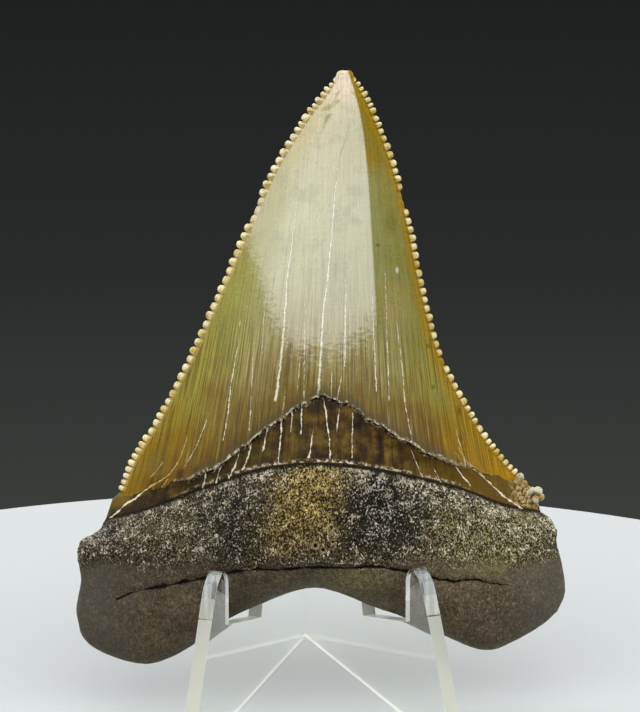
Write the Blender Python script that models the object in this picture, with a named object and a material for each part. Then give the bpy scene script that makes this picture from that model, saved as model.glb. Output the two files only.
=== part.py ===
"""A fossil shark tooth leaning in its clear acrylic display stand.

The tooth grew as one piece (crown, dark neck band and root), so it is one solid.
The stand's two clear acrylic wings are joined along an upright edge, so it is another.
Everything is modelled in millimetres and written out in metres, with +Z up and the
tooth's broad convex face towards -Y.
"""
import math

import bmesh
import bpy
from mathutils import Matrix, Vector

MM = 0.001

# How the tooth sits: it keeps a gap of 0.3 mm to the ledges and the back rest that carry it
LEAN_DEG = 15.0                # the tooth leans back by this much
TOOTH_FORWARD = 21.7           # from the stand's joined edge to the tooth's blade plane, at its foot
TOOTH_FOOT_Z = 3.6             # height of the foot of the blade plane over the table
TOOTH_SHIFT_X = 0.8            # the tooth stands a little to one side

# Outlines of the tooth as seen square on: (across, up), millimetres from the foot of the root
LEFT_EDGE = [(-20.7, 17.7), (-19.2, 21.1), (-16.9, 24.7), (-13.5, 30.9), (-10.1, 38.2),
             (-7.3, 44.5), (-4.5, 50.5), (-1.4, 55.4), (2.3, 59.7)]
RIGHT_EDGE = [(21.0, 18.5), (18.7, 21.1), (16.5, 24.3), (13.1, 30.9), (11.2, 38.2),
              (10.0, 44.5), (8.5, 50.5), (6.7, 55.4), (4.1, 59.7)]
TIP = (3.25, 60.1)
ROOT_LEFT = [(-24.7, 4.4), (-24.9, 5.8), (-24.4, 8.6), (-24.7, 11.3), (-24.2, 12.7),
             (-22.7, 13.5), (-21.8, 14.7)]
ROOT_RIGHT = [(24.0, 4.7), (24.8, 6.7), (24.5, 9.8), (24.1, 11.6), (24.2, 12.9),
              (23.7, 14.0), (22.7, 14.7)]
ROOT_FOOT = [(-24.7, 4.4), (-24.4, 3.1), (-23.3, 1.9), (-21.4, 0.9), (-18.6, 0.1), (-16.5, 0.3),
             (-13.6, 1.6), (-9.6, 4.4), (-6.3, 5.9), (-3.0, 7.15), (-0.7, 7.5), (1.6, 7.0),
             (5.2, 5.5), (8.4, 4.3), (12.5, 2.35), (16.3, 0.9), (19.0, 1.5), (22.3, 3.3),
             (24.0, 4.7)]
FRONT_MARGIN = [(-21.8, 14.7), (-17.5, 15.8), (-12.3, 17.7), (-6.2, 19.7), (0.0, 20.2),
                (6.1, 19.4), (13.2, 17.7), (18.6, 15.7), (22.7, 14.7)]
BACK_MARGIN = [(-21.8, 14.7), (-12.0, 15.8), (0.0, 17.6), (12.0, 16.0), (22.7, 14.7)]
FRONT_ENAMEL = [(-21.1, 16.7), (-16.4, 17.9), (-10.8, 19.9), (-6.2, 23.3), (-1.2, 26.6),
                (0.6, 26.8), (2.5, 26.2), (6.1, 23.8), (11.2, 20.9), (16.0, 19.2), (22.1, 17.0)]
BACK_ENAMEL = [(-21.1, 16.7), (-12.0, 17.2), (0.0, 19.0), (12.0, 17.4), (22.1, 17.0)]

# Depths of the tooth, (share of the way up, millimetres)
CROWN_FRONT = [(0.0, 7.3), (0.25, 6.0), (0.5, 4.3), (0.75, 2.6), (1.0, 0.8)]
CROWN_BACK = [(0.0, 0.9), (0.5, 0.8), (1.0, 0.3)]
ROOT_MIDDLE = [(0.0, 2.9), (0.5, 2.7), (1.0, 0.3)]
ROOT_FRONT = [(0.0, 5.6), (0.5, 6.7), (1.0, 8.3)]
ROOT_BACK = [(0.0, 3.9), (0.5, 4.1), (1.0, 1.2)]
CROWN_FALL = 1.2               # how fast the crown thins from its middle to its cutting edges
BLADE_HALF = 0.35              # half the thickness of the cutting edge
FOOT_ROUNDING = 0.3            # share of the root's height that rounds off its lower edge
LOBE_SHARE = 0.72              # thickness of the root's lobes against its middle
MIDDLE_SPREAD = 0.35           # half-width of the thick middle of the root, as a share
ENAMEL_STEP = 0.35             # the enamel stands this proud of the dark neck band
NECK_DROP = 0.45               # and the band lies this far under the rim of the root
LUMP_HEIGHT = 0.22             # gentle lumps of the bony root
LUMP_SPACING = 5.5

# Serrations
SERRATIONS = 55                # along each cutting edge
SERRATION_DEPTH = 0.62
SERRATION_FINEST = 0.55        # width of the end serrations against the middle ones
BEAD_STEPS = [(0.0, 0.0), (0.28, 0.85), (0.52, 1.0), (0.78, 0.8)]   # (along, outwards)
WORN_LEFT = {34: 0.35, 35: 0.25, 36: 0.4}                          # broken serrations
WORN_RIGHT = {36: 0.15, 37: 0.1, 18: 0.4}
EDGE_STRIP = 0.85              # width of the flat strip that carries the serrations
WIDEST_STRIP = 0.22            # and its largest share of the crown's width, near the tip
ROW_OVER_ENAMEL = 0.9          # the first row of the crown runs this far above the enamel's border

# Mesh density
ROOT_COLUMNS = 28
ROOT_LEVELS = [0.0, 0.02, 0.07, 0.15, 0.26, 0.42, 0.6, 0.78, 0.92, 1.0]
CROWN_SHARES_FRONT = [0.12, 0.25, 0.38, 0.5, 0.62, 0.75, 0.88]
CROWN_SHARES_BACK = [0.25, 0.5, 0.75]

# Stand: two clear wings joined along an upright edge at the back, open towards the front
SHEET = 1.4
WING_ANGLE_DEG = 19.2          # each wing's turn from straight back
WING_LENGTH = 43.2             # from the front foot to the joined edge
JOINED_RADIUS = 0.6            # rounding of that edge
FRONT_RAKE_DEG = 29.0          # the front cut leans back by this much
PRONG_TOP = 16.2
PRONG_BACK = 12.3              # distance of the prong's upright back cut from the front foot
PRONG_RADIUS = 1.9
LEDGE_FRONT_Z = 10.2
LEDGE_LENGTH = 11.0
REST_TOP = 38.0                # height of the back rest
REST_RADIUS = 2.0
ARC_STEPS = 6


def smooth_curve(points):
    """Give a function of 0 to 1 that walks evenly along a smooth curve through the points."""
    knots = [Vector(p) for p in points]
    lengths = [0.0]
    for here, there in zip(knots, knots[1:]):
        lengths.append(lengths[-1] + (there - here).length)
    knots = [2 * knots[0] - knots[1]] + knots + [2 * knots[-1] - knots[-2]]

    def at(share):
        distance = min(max(share, 0.0), 1.0) * lengths[-1]
        span = 0
        while span < len(lengths) - 2 and lengths[span + 1] < distance:
            span += 1
        t = (distance - lengths[span]) / (lengths[span + 1] - lengths[span])
        p0, p1, p2, p3 = knots[span:span + 4]
        return 0.5 * (2 * p1 + (p2 - p0) * t + (2 * p0 - 5 * p1 + 4 * p2 - p3) * t * t
                      + (3 * p1 - p0 - 3 * p2 + p3) * t ** 3)

    return at


def height_over(curve, across):
    """Height of a left-to-right curve over a place across the tooth."""
    low, high = 0.0, 1.0
    for _ in range(24):
        middle = (low + high) / 2
        if curve(middle)[0] < across:
            low = middle
        else:
            high = middle
    return curve((low + high) / 2)[1]


def value_along(table, share):
    """Straight interpolation in a short list of (share, value)."""
    for (a, va), (b, vb) in zip(table, table[1:]):
        if share <= b:
            return va + (vb - va) * (share - a) / (b - a)
    return table[-1][1]


def mix(a, b, share):
    return a + (b - a) * share


def crown_depths(side, share_up):
    """Depth of the crown in front of and behind its blade plane; side runs from -1 to 1."""
    swell = max(1 - side * side, 0.0)
    front = BLADE_HALF + value_along(CROWN_FRONT, share_up) * swell ** CROWN_FALL
    back = BLADE_HALF + value_along(CROWN_BACK, share_up) * swell
    return front, back


def root_depths(side, share_up):
    """The same for the root, whose lower edge and ends are rounded."""
    rounding = 1 - min(share_up / FOOT_ROUNDING, 1.0)
    foot = math.sqrt(1 - rounding * rounding)
    ends = max(1 - abs(side) ** (3 - share_up), 0.0) ** (0.5 + 0.4 * share_up)
    thick_middle = LOBE_SHARE + (1 - LOBE_SHARE) * math.exp(-(side / MIDDLE_SPREAD) ** 2)
    middle = value_along(ROOT_MIDDLE, share_up)
    front = middle + value_along(ROOT_FRONT, share_up) * foot * ends * thick_middle
    back = -middle + value_along(ROOT_BACK, share_up) * foot * ends
    return front, back


def lumps(across, up):
    """Gentle swellings of the bone, which die out on the rim and on the lower edge."""
    wave = 2 * math.pi / LUMP_SPACING
    return LUMP_HEIGHT * math.sin(wave * across + 0.8 * up) * math.sin(0.7 * wave * up + 0.3 * across)


def root_columns():
    """Shares of the way across the root, closer together at its ends."""
    shares = []
    for j in range(ROOT_COLUMNS + 1):
        even = j / ROOT_COLUMNS
        crowded = 0.5 - 0.5 * math.cos(math.pi * even)
        shares.append(mix(even, crowded, 0.4))
    return shares


def add_ring(bm, front, back):
    """Add one ring; front and back are lists of (share across, place), left to right.

    The back list leaves out both ends, which it shares with the front list.
    """
    ring = [(share, bm.verts.new(place)) for share, place in front]
    ring += [(2 - share, bm.verts.new(place)) for share, place in reversed(back)]
    return ring


def join_rings(bm, lower, upper):
    """Stitch two rings with triangles or quads, whatever their counts."""
    lows = lower + [(2.0, lower[0][1])]
    ups = upper + [(2.0, upper[0][1])]
    if len(lows) == len(ups):
        for (_, a), (_, b), (_, c), (_, d) in zip(lows, lows[1:], ups[1:], ups):
            bm.faces.new((a, b, c, d))
        return
    i = j = 0
    while i < len(lows) - 1 or j < len(ups) - 1:
        if j == len(ups) - 1 or (i < len(lows) - 1 and lows[i + 1][0] <= ups[j + 1][0]):
            bm.faces.new((lows[i][1], lows[i + 1][1], ups[j][1]))
            i += 1
        else:
            bm.faces.new((lows[i][1], ups[j + 1][1], ups[j][1]))
            j += 1


def root_rings(bm):
    """Rings from the root's lower edge up to its rim under the crown."""
    foot, left, right = smooth_curve(ROOT_FOOT), smooth_curve(ROOT_LEFT), smooth_curve(ROOT_RIGHT)
    rims = {"front": smooth_curve(FRONT_MARGIN), "back": smooth_curve(BACK_MARGIN)}
    shares = root_columns()

    def outline(share, up, rim):
        """Blend the four border curves, so the ring follows all of them."""
        across = mix(foot(share), rim(share), up) + mix(left(up), right(up), share)
        corners = mix(mix(foot(0), foot(1), share), mix(rim(0), rim(1), share), up)
        return across - corners

    rings = []
    for up in ROOT_LEVELS:
        front, back = [], []
        for share in shares:
            flat = outline(share, up, rims["front"])
            fade = math.sin(math.pi * up) * math.sin(math.pi * share)
            depth = root_depths(2 * share - 1, up)[0] + lumps(*flat) * fade
            front.append((share, (flat[0], -depth, flat[1])))
        for share in shares[1:-1]:
            flat = outline(share, up, rims["back"])
            fade = math.sin(math.pi * up) * math.sin(math.pi * share)
            depth = root_depths(2 * share - 1, up)[1] + lumps(*flat) * fade
            back.append((share, (flat[0], depth, flat[1])))
        if up == 0.0:
            line = [(share, bm.verts.new(place)) for share, place in front]
            rings.append(line + [(2 - share, vert) for share, vert in reversed(line[1:-1])])
        else:
            rings.append(add_ring(bm, front, back))
    return rings


def neck_rings(bm):
    """The dark band between the root's rim and the enamel, and the enamel's own step."""
    front_rim, back_rim = smooth_curve(FRONT_MARGIN), smooth_curve(BACK_MARGIN)
    front_edge, back_edge = smooth_curve(FRONT_ENAMEL), smooth_curve(BACK_ENAMEL)
    rings = []
    for up, proud in ((0.05, -NECK_DROP), (0.5, -NECK_DROP), (0.97, -ENAMEL_STEP), (1.0, 0.0)):
        front, back = [], []
        for share in root_columns():
            side = 2 * share - 1
            fade = max(1 - side * side, 0.0)
            flat = mix(front_rim(share), front_edge(share), up)
            depth = mix(root_depths(side, 1.0)[0], crown_depths(side, 0.0)[0], up) + proud * fade
            front.append((share, (flat[0], -depth, flat[1])))
            flat = mix(back_rim(share), back_edge(share), up)
            depth = mix(root_depths(side, 1.0)[1], crown_depths(side, 0.0)[1], up)
            back.append((share, (flat[0], depth, flat[1])))
        rings.append(add_ring(bm, front, back[1:-1]))
    return rings


def serration_levels():
    """(share along the edge, outward reach, serration number) of every ring of the crown."""
    widths = []
    for k in range(SERRATIONS):
        middle = math.sin(math.pi * (k + 0.5) / SERRATIONS) ** 0.7
        widths.append(mix(SERRATION_FINEST, 1.0, middle))
    total = sum(widths)
    levels, start = [], 0.0
    for number, width in enumerate(widths):
        for along, outwards in BEAD_STEPS:
            levels.append(((start + along * width) / total, outwards, number))
        start += width
    levels.append((1.0, 0.0, SERRATIONS))
    return levels


def edge_place(curve, share, reach, outward):
    """A point of a serrated edge: the smooth outline, moved in where the serration falls back."""
    slope = (curve(min(share + 0.01, 1.0)) - curve(max(share - 0.01, 0.0))).normalized()
    away = Vector((slope[1], -slope[0])) * outward
    return curve(share) - away * SERRATION_DEPTH * (1 - reach)


def crown_rings(bm):
    """Rings of the serrated crown, from the enamel's border to the tip."""
    left, right = smooth_curve(LEFT_EDGE), smooth_curve(RIGHT_EDGE)
    enamel = {"front": smooth_curve(FRONT_ENAMEL), "back": smooth_curve(BACK_ENAMEL)}
    rings = []
    for share_up, reach, number in serration_levels():
        left_end = edge_place(left, share_up, reach * WORN_LEFT.get(number, 1.0), -1)
        right_end = edge_place(right, share_up, reach * WORN_RIGHT.get(number, 1.0), 1)
        strip = min(EDGE_STRIP / (right(share_up) - left(share_up)).length, WIDEST_STRIP)
        left_strip = mix(left(share_up), right(share_up), strip)
        right_strip = mix(left(share_up), right(share_up), 1 - strip)

        def place(share, face):
            side = 2 * share - 1
            flat = mix(left(share_up), right(share_up), share)
            level = mix(left(0)[1], right(0)[1], share)
            across = mix(left(0)[0], right(0)[0], share)
            lift = height_over(enamel[face], across) + ROW_OVER_ENAMEL - level
            up = flat[1] + lift * (1 - share_up) * (1 - abs(side) ** 4)
            front, back = crown_depths(side, share_up)
            return flat[0], (-front if face == "front" else back), up

        front = [(0.0, (left_end[0], 0.0, left_end[1])),
                 (strip, (left_strip[0], -BLADE_HALF, left_strip[1]))]
        front += [(share, place(share, "front")) for share in CROWN_SHARES_FRONT]
        front += [(1 - strip, (right_strip[0], -BLADE_HALF, right_strip[1])),
                  (1.0, (right_end[0], 0.0, right_end[1]))]
        back = [(strip, (left_strip[0], BLADE_HALF, left_strip[1]))]
        back += [(share, place(share, "back")) for share in CROWN_SHARES_BACK]
        back += [(1 - strip, (right_strip[0], BLADE_HALF, right_strip[1]))]
        rings.append(add_ring(bm, front, back))
    return rings


def tooth_mesh():
    bm = bmesh.new()
    rings = root_rings(bm) + neck_rings(bm) + crown_rings(bm)
    for lower, upper in zip(rings, rings[1:]):
        join_rings(bm, lower, upper)
    tip = bm.verts.new((TIP[0], 0.0, TIP[1]))
    last = [vert for _, vert in rings[-1]]
    for a, b in zip(last, last[1:] + last[:1]):
        bm.faces.new((a, b, tip))
    bmesh.ops.recalc_face_normals(bm, faces=bm.faces)
    turn = Matrix.Rotation(math.radians(-LEAN_DEG), 4, "X")
    move = Matrix.Translation((TOOTH_SHIFT_X, -TOOTH_FORWARD, TOOTH_FOOT_Z))
    bm.transform(move @ turn)
    return bm


def arc(centre, radius, start_deg, end_deg, steps):
    """Points of a round corner in the wing's own plane."""
    points = []
    for k in range(steps + 1):
        angle = math.radians(mix(start_deg, end_deg, k / steps))
        points.append((centre[0] + radius * math.cos(angle), centre[1] + radius * math.sin(angle)))
    return points


def wing_outline():
    """Outline of one wing in its own plane, without its joined edge: (from the front foot, up)."""
    lean = math.tan(math.radians(LEAN_DEG)) / math.cos(math.radians(WING_ANGLE_DEG))
    drop = math.tan(math.radians(LEAN_DEG)) * math.cos(math.radians(WING_ANGLE_DEG))
    ledge_back = PRONG_BACK + LEDGE_LENGTH
    ledge_back_z = LEDGE_FRONT_Z - LEDGE_LENGTH * drop
    rest_front = ledge_back + (REST_TOP - ledge_back_z) * lean
    points = [(0.0, 0.0)]
    points += arc((PRONG_BACK - PRONG_RADIUS, PRONG_TOP - PRONG_RADIUS), PRONG_RADIUS,
                  180 - FRONT_RAKE_DEG, 0, ARC_STEPS)
    points += [(PRONG_BACK, LEDGE_FRONT_Z), (ledge_back, ledge_back_z)]
    points += arc((rest_front + REST_RADIUS, REST_TOP - REST_RADIUS), REST_RADIUS,
                  180 - math.degrees(math.atan(lean)), 90, ARC_STEPS)
    return points


def stand_mesh():
    """Both wings and their joined edge, as one clear piece."""
    bm = bmesh.new()
    angle = math.radians(WING_ANGLE_DEG)
    outline = wing_outline()
    outer_end = WING_LENGTH - JOINED_RADIUS / math.tan(angle)
    inner_end = WING_LENGTH - SHEET / math.tan(angle)

    def on_wing(side, distance, height, inwards):
        """A point of a wing, that far inwards from its outer face."""
        from_edge = WING_LENGTH - distance
        x = side * (from_edge * math.sin(angle) - inwards * math.cos(angle))
        return x, -from_edge * math.cos(angle) - inwards * math.sin(angle), height

    inner_edge = [bm.verts.new(on_wing(1, inner_end, height, SHEET)) for height in (REST_TOP, 0.0)]
    outer_edges = {}
    for side in (-1, 1):
        outer = [bm.verts.new(on_wing(side, d, z, 0.0)) for d, z in outline]
        inner = [bm.verts.new(on_wing(side, d, z, SHEET)) for d, z in outline]
        outer_edges[side] = [bm.verts.new(on_wing(side, outer_end, height, 0.0))
                             for height in (REST_TOP, 0.0)]
        outer += outer_edges[side]
        inner += inner_edge
        bm.faces.new(outer)
        bm.faces.new(inner)
        joined = len(outline)
        for k in range(-1, len(outer) - 1):
            if k != joined:
                bm.faces.new((outer[k], outer[k + 1], inner[k + 1], inner[k]))
    centre_y = -JOINED_RADIUS / math.sin(angle)
    rows = [outer_edges[-1]]
    for k in range(1, ARC_STEPS):
        turn = mix(angle - math.pi / 2, math.pi / 2 - angle, k / ARC_STEPS)
        x, y = JOINED_RADIUS * math.sin(turn), centre_y + JOINED_RADIUS * math.cos(turn)
        rows.append([bm.verts.new((x, y, height)) for height in (REST_TOP, 0.0)])
    rows.append(outer_edges[1])
    for (top, foot), (next_top, next_foot) in zip(rows, rows[1:]):
        bm.faces.new((top, foot, next_foot, next_top))
    for end in (0, 1):
        bm.faces.new([row[end] for row in rows] + [inner_edge[end]])
    bmesh.ops.recalc_face_normals(bm, faces=bm.faces)
    return bm


def material(name, colour, roughness, alpha=1.0, transmission=0.0):
    made = bpy.data.materials.new(name)
    made.use_nodes = True
    shader = made.node_tree.nodes["Principled BSDF"]
    shader.inputs["Base Color"].default_value = (*colour, 1.0)
    shader.inputs["Roughness"].default_value = roughness
    shader.inputs["Metallic"].default_value = 0.0
    shader.inputs["Alpha"].default_value = alpha
    shader.inputs["Transmission Weight"].default_value = transmission
    return made


def add_object(name, bm, surface, origin):
    """Write a mesh out in metres, moved so that the shared origin is under the object's middle."""
    bm.transform(Matrix.Scale(MM, 4) @ Matrix.Translation(-origin))
    mesh = bpy.data.meshes.new(name)
    bm.to_mesh(mesh)
    bm.free()
    mesh.materials.append(surface)
    thing = bpy.data.objects.new(name, mesh)
    bpy.context.collection.objects.link(thing)
    return thing


def footprint_middle(meshes):
    """The point of the table under the middle of everything."""
    xs = [vert.co.x for bm in meshes for vert in bm.verts]
    ys = [vert.co.y for bm in meshes for vert in bm.verts]
    return Vector(((min(xs) + max(xs)) / 2, (min(ys) + max(ys)) / 2, 0.0))


def main():
    for old in list(bpy.data.objects):
        bpy.data.objects.remove(old, do_unlink=True)
    tooth, stand = tooth_mesh(), stand_mesh()
    origin = footprint_middle((tooth, stand))
    enamel = material("fossil enamel and root", (0.42, 0.36, 0.2), 0.35)
    acrylic = material("clear acrylic", (0.93, 0.95, 0.92), 0.05, alpha=0.35, transmission=1.0)
    add_object("tooth", tooth, enamel, origin)
    add_object("stand", stand, acrylic, origin)


main()
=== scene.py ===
# %% [markdown]
# # A fossil shark tooth in its clear stand
#
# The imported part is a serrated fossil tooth, 50 mm wide and 60 mm high, leaning back in a small
# stand of clear acrylic. The frame gives both pieces as plain solids at their real size. This
# notebook gives them their looks: a finely modelled tooth with enamel, neck band and bony root,
# a polished stand with softened edges, and the light and camera of a small product photograph.

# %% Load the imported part
import math

import bpy
import numpy as np
from mathutils import Matrix, Vector


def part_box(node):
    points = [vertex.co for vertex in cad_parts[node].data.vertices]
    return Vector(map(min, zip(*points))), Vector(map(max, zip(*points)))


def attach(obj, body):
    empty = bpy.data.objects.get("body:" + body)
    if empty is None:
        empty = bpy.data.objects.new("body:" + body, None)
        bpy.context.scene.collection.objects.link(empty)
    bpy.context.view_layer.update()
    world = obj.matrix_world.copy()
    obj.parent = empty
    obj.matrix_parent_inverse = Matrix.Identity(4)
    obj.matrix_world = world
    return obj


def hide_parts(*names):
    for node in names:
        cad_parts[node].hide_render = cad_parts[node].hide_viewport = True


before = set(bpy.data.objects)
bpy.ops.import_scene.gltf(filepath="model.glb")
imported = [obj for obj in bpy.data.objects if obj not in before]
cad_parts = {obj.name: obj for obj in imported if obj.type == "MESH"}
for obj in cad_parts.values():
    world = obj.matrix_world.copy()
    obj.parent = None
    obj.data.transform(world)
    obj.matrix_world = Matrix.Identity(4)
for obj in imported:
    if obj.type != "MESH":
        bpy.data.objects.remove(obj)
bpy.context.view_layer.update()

MM = 0.001
print("pieces in the frame:", sorted(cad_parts))

# %% [markdown]
# ## The camera
#
# The photograph was taken from a little above the stand, with a long lens: upright lines stay
# upright and the far end of the stand hardly shrinks. The tooth leans back by the same angle as
# the camera looks down, so it is seen square on. The lens is worked out from the focal length in
# pixels, for a picture of 640 by 712.

# %% Camera
PHOTO_WIDTH, PHOTO_HEIGHT = 640, 712
FOCAL_PIXELS = 3974
SENSOR_MM = 36.0
CAMERA_TARGET = Vector((0.0, 0.2, 35.2)) * MM
CAMERA_DISTANCE = 0.4
CAMERA_ELEVATION = math.radians(15.0)
CAMERA_TO_LEFT = math.radians(2.9)


def direction(azimuth, elevation):
    """The direction from the object to something at that angle; azimuth 0 is the front."""
    return Vector((math.sin(azimuth) * math.cos(elevation),
                   -math.cos(azimuth) * math.cos(elevation), math.sin(elevation)))


bpy.ops.object.select_all(action="DESELECT")
bpy.ops.object.camera_add(
    location=CAMERA_TARGET + CAMERA_DISTANCE * direction(-CAMERA_TO_LEFT, CAMERA_ELEVATION),
    rotation=(math.pi / 2 - CAMERA_ELEVATION, 0.0, -CAMERA_TO_LEFT))
camera = bpy.context.object
camera.name = "camera"
camera.data.sensor_fit = "VERTICAL"
camera.data.sensor_height = SENSOR_MM
camera.data.lens = SENSOR_MM * FOCAL_PIXELS / PHOTO_HEIGHT
camera.data.clip_start = 0.05
bpy.context.scene.camera = camera
bpy.context.view_layer.update()
print("lens", round(camera.data.lens, 1), "mm")

# %% [markdown]
# ## The tooth's own axes
#
# It is easier to model a tooth that stands upright than one that leans. Everything below is
# measured in the tooth's own axes, in millimetres: across, depth (forwards is negative) and up
# from the lowest point of the root. One matrix then leans it back and puts it in the stand. The
# same matrix, run backwards, tells where a mark seen in the photograph lies on the tooth.

# %% From the tooth's axes to the part
LEAN = math.radians(15.0)
TOOTH_SHIFT = 0.8              # millimetres to the right of the stand's middle
TOOTH_FORWARD = 21.7           # in front of the stand's joined edge
TOOTH_FOOT_UP = 3.6            # over the table

stand_low, stand_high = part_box("stand")
tooth_foot = Vector(((stand_low.x + stand_high.x) / 2 + TOOTH_SHIFT * MM,
                     stand_high.y - TOOTH_FORWARD * MM, TOOTH_FOOT_UP * MM))
tooth_to_part = (Matrix.Translation(tooth_foot) @ Matrix.Rotation(-LEAN, 4, "X")
                 @ Matrix.Scale(MM, 4))
part_to_tooth = tooth_to_part.inverted()


def on_tooth(pixel, depth=5.5):
    """Where a pixel of the photograph lands, (across, up), at that depth in front of the blade."""
    seen = Vector(((pixel[0] - PHOTO_WIDTH / 2) / FOCAL_PIXELS,
                   (PHOTO_HEIGHT / 2 - pixel[1]) / FOCAL_PIXELS, -1.0))
    ray = part_to_tooth.to_3x3() @ (camera.matrix_world.to_3x3() @ seen)
    start = part_to_tooth @ camera.location
    hit = start + ray * ((-depth - start.y) / ray.y)
    return hit.x, hit.z


print("the tooth's foot stands at", [round(c / MM, 2) for c in tooth_foot], "mm")

# %% [markdown]
# ## Curves through a few points
#
# An outline is best held by a few points and a smooth curve through them. Each curve here is a
# function: it is given shares from 0 to 1 and returns places along the curve. A second helper
# reads such a curve as a graph, to ask how high it is over some place across the tooth.

# %% Curve helpers
def smooth_curve(points):
    """Give a function of 0 to 1 that walks evenly along a smooth curve through the points."""
    knots = np.array(points, float)
    lengths = np.concatenate([[0.0], np.cumsum(np.linalg.norm(np.diff(knots, axis=0), axis=1))])
    padded = np.vstack([2 * knots[0] - knots[1], knots, 2 * knots[-1] - knots[-2]])

    def at(share):
        distance = np.clip(np.asarray(share, float), 0.0, 1.0) * lengths[-1]
        span = np.clip(np.searchsorted(lengths, distance, side="right") - 1, 0, len(lengths) - 2)
        t = ((distance - lengths[span]) / (lengths[span + 1] - lengths[span]))[..., None]
        p0, p1, p2, p3 = (padded[span + k] for k in range(4))
        return 0.5 * (2 * p1 + (p2 - p0) * t + (2 * p0 - 5 * p1 + 4 * p2 - p3) * t ** 2
                      + (3 * p1 - p0 - 3 * p2 + p3) * t ** 3)

    return at


GRAPH_SAMPLES = 1200


def as_graph(points):
    """Read a smooth curve from left to right as a graph."""
    places = smooth_curve(points)(np.linspace(0, 1, GRAPH_SAMPLES))
    return lambda across: np.interp(across, places[:, 0], places[:, 1])


def mix(a, b, share):
    return a + (b - a) * share


def fade(value, low, high):
    """Run smoothly from 0 at low to 1 at high."""
    t = np.clip((value - low) / (high - low), 0.0, 1.0)
    return t * t * (3 - 2 * t)


# %% [markdown]
# ## The tooth's outlines and depths
#
# These are the solid's own driving curves, with a few more points near the tip: the two cutting
# edges, the root with its two lobes, the rim of the root, and the edge of the enamel, which climbs
# to a peak in the middle of the front. Depths are short lists of (share of the way up,
# millimetres).

# %% Outlines
LEFT_EDGE = smooth_curve([(-20.7, 17.7), (-19.2, 21.1), (-16.9, 24.7), (-13.5, 30.9), (-10.1, 38.2),
                          (-7.3, 44.5), (-4.5, 50.5), (-1.4, 55.4), (0.0, 57.2), (1.15, 58.65),
                          (2.3, 59.6)])
RIGHT_EDGE = smooth_curve([(21.0, 18.5), (18.7, 21.1), (16.5, 24.3), (13.1, 30.9), (11.2, 38.2),
                           (10.0, 44.5), (8.5, 50.5), (6.7, 55.4), (5.95, 57.2), (5.1, 58.65),
                           (4.1, 59.6)])
TIP = (3.25, 60.15)
ROOT_LEFT = smooth_curve([(-24.7, 4.4), (-24.9, 5.8), (-24.4, 8.6), (-24.7, 11.3), (-24.2, 12.7),
                          (-22.7, 13.5), (-21.8, 14.7)])
ROOT_RIGHT = smooth_curve([(24.0, 4.7), (24.8, 6.7), (24.5, 9.8), (24.1, 11.6), (24.2, 12.9),
                           (23.7, 14.0), (22.7, 14.7)])
ROOT_FOOT = smooth_curve([(-24.7, 4.4), (-24.4, 3.1), (-23.3, 1.9), (-21.4, 0.9), (-18.6, 0.1),
                          (-16.5, 0.3), (-13.6, 1.6), (-9.6, 4.4), (-6.3, 5.9), (-3.0, 7.15),
                          (-0.7, 7.5), (1.6, 7.0), (5.2, 5.5), (8.4, 4.3), (12.5, 2.35),
                          (16.3, 0.9), (19.0, 1.5), (22.3, 3.3), (24.0, 4.7)])
FRONT_MARGIN = smooth_curve([(-21.8, 14.7), (-17.5, 15.8), (-12.3, 17.7), (-6.2, 19.7), (0.0, 20.2),
                             (6.1, 19.4), (13.2, 17.7), (18.6, 15.7), (22.7, 14.7)])
BACK_MARGIN = smooth_curve([(-21.8, 14.7), (-12.0, 15.8), (0.0, 17.6), (12.0, 16.0), (22.7, 14.7)])
FRONT_ENAMEL_POINTS = [(-21.1, 16.7), (-16.4, 17.9), (-10.8, 19.9), (-6.2, 23.3), (-1.2, 26.6),
                       (0.6, 26.8), (2.5, 26.2), (6.1, 23.8), (11.2, 20.9), (16.0, 19.2), (22.1, 17.0)]
BACK_ENAMEL_POINTS = [(-21.1, 16.7), (-12.0, 17.2), (0.0, 19.0), (12.0, 17.4), (22.1, 17.0)]
FRONT_ENAMEL, BACK_ENAMEL = smooth_curve(FRONT_ENAMEL_POINTS), smooth_curve(BACK_ENAMEL_POINTS)
over_front_enamel, over_back_enamel = as_graph(FRONT_ENAMEL_POINTS), as_graph(BACK_ENAMEL_POINTS)

# %% Depths
CROWN_FRONT = as_graph([(0.0, 7.0), (0.1, 6.75), (0.2, 6.3), (0.3, 5.7), (0.5, 4.3), (0.75, 2.55),
                        (0.92, 1.1), (1.0, 0.3)])
CROWN_BACK = as_graph([(0.0, 0.9), (0.5, 0.8), (1.0, 0.3)])
ROOT_MIDDLE = as_graph([(0.0, 2.9), (0.5, 2.7), (1.0, 0.3)])
ROOT_FRONT = as_graph([(0.0, 5.6), (0.5, 6.7), (1.0, 8.3)])
ROOT_BACK = as_graph([(0.0, 3.9), (0.5, 4.1), (1.0, 1.2)])
FLAT_LEFT = (0.58, 0.72)       # over this share of the height the crown's left half flattens
RIDGE_ROUNDING = 0.06          # roundness of the ridge beside that flat side
BLADE_HALF = 0.35              # half the thickness of the cutting edge
FOOT_ROUNDING = 0.3            # share of the root's height that rounds off its lower edge
LOBE_SHARE = 0.72              # thickness of the root's lobes against its middle
MIDDLE_SPREAD = 0.35
ENAMEL_STEP = 0.35             # the enamel stands this proud of the neck band
NECK_DROP = 0.45               # and the band lies this far under the rim of the root


def crown_depths(side, up):
    """Depth of the crown in front of and behind its blade plane; side runs from -1 to 1."""
    swell = np.clip(1 - side * side, 0.0, 1.0)
    crest, foot = math.sqrt(RIDGE_ROUNDING), math.sqrt(1 + RIDGE_ROUNDING)
    roof = (foot - np.sqrt(np.minimum(side, 0.0) ** 2 + RIDGE_ROUNDING)) / (foot - crest)
    front = np.where(side < 0, mix(swell, roof, fade(up, *FLAT_LEFT)), swell)
    return BLADE_HALF + CROWN_FRONT(up) * front, BLADE_HALF + CROWN_BACK(up) * swell


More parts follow.
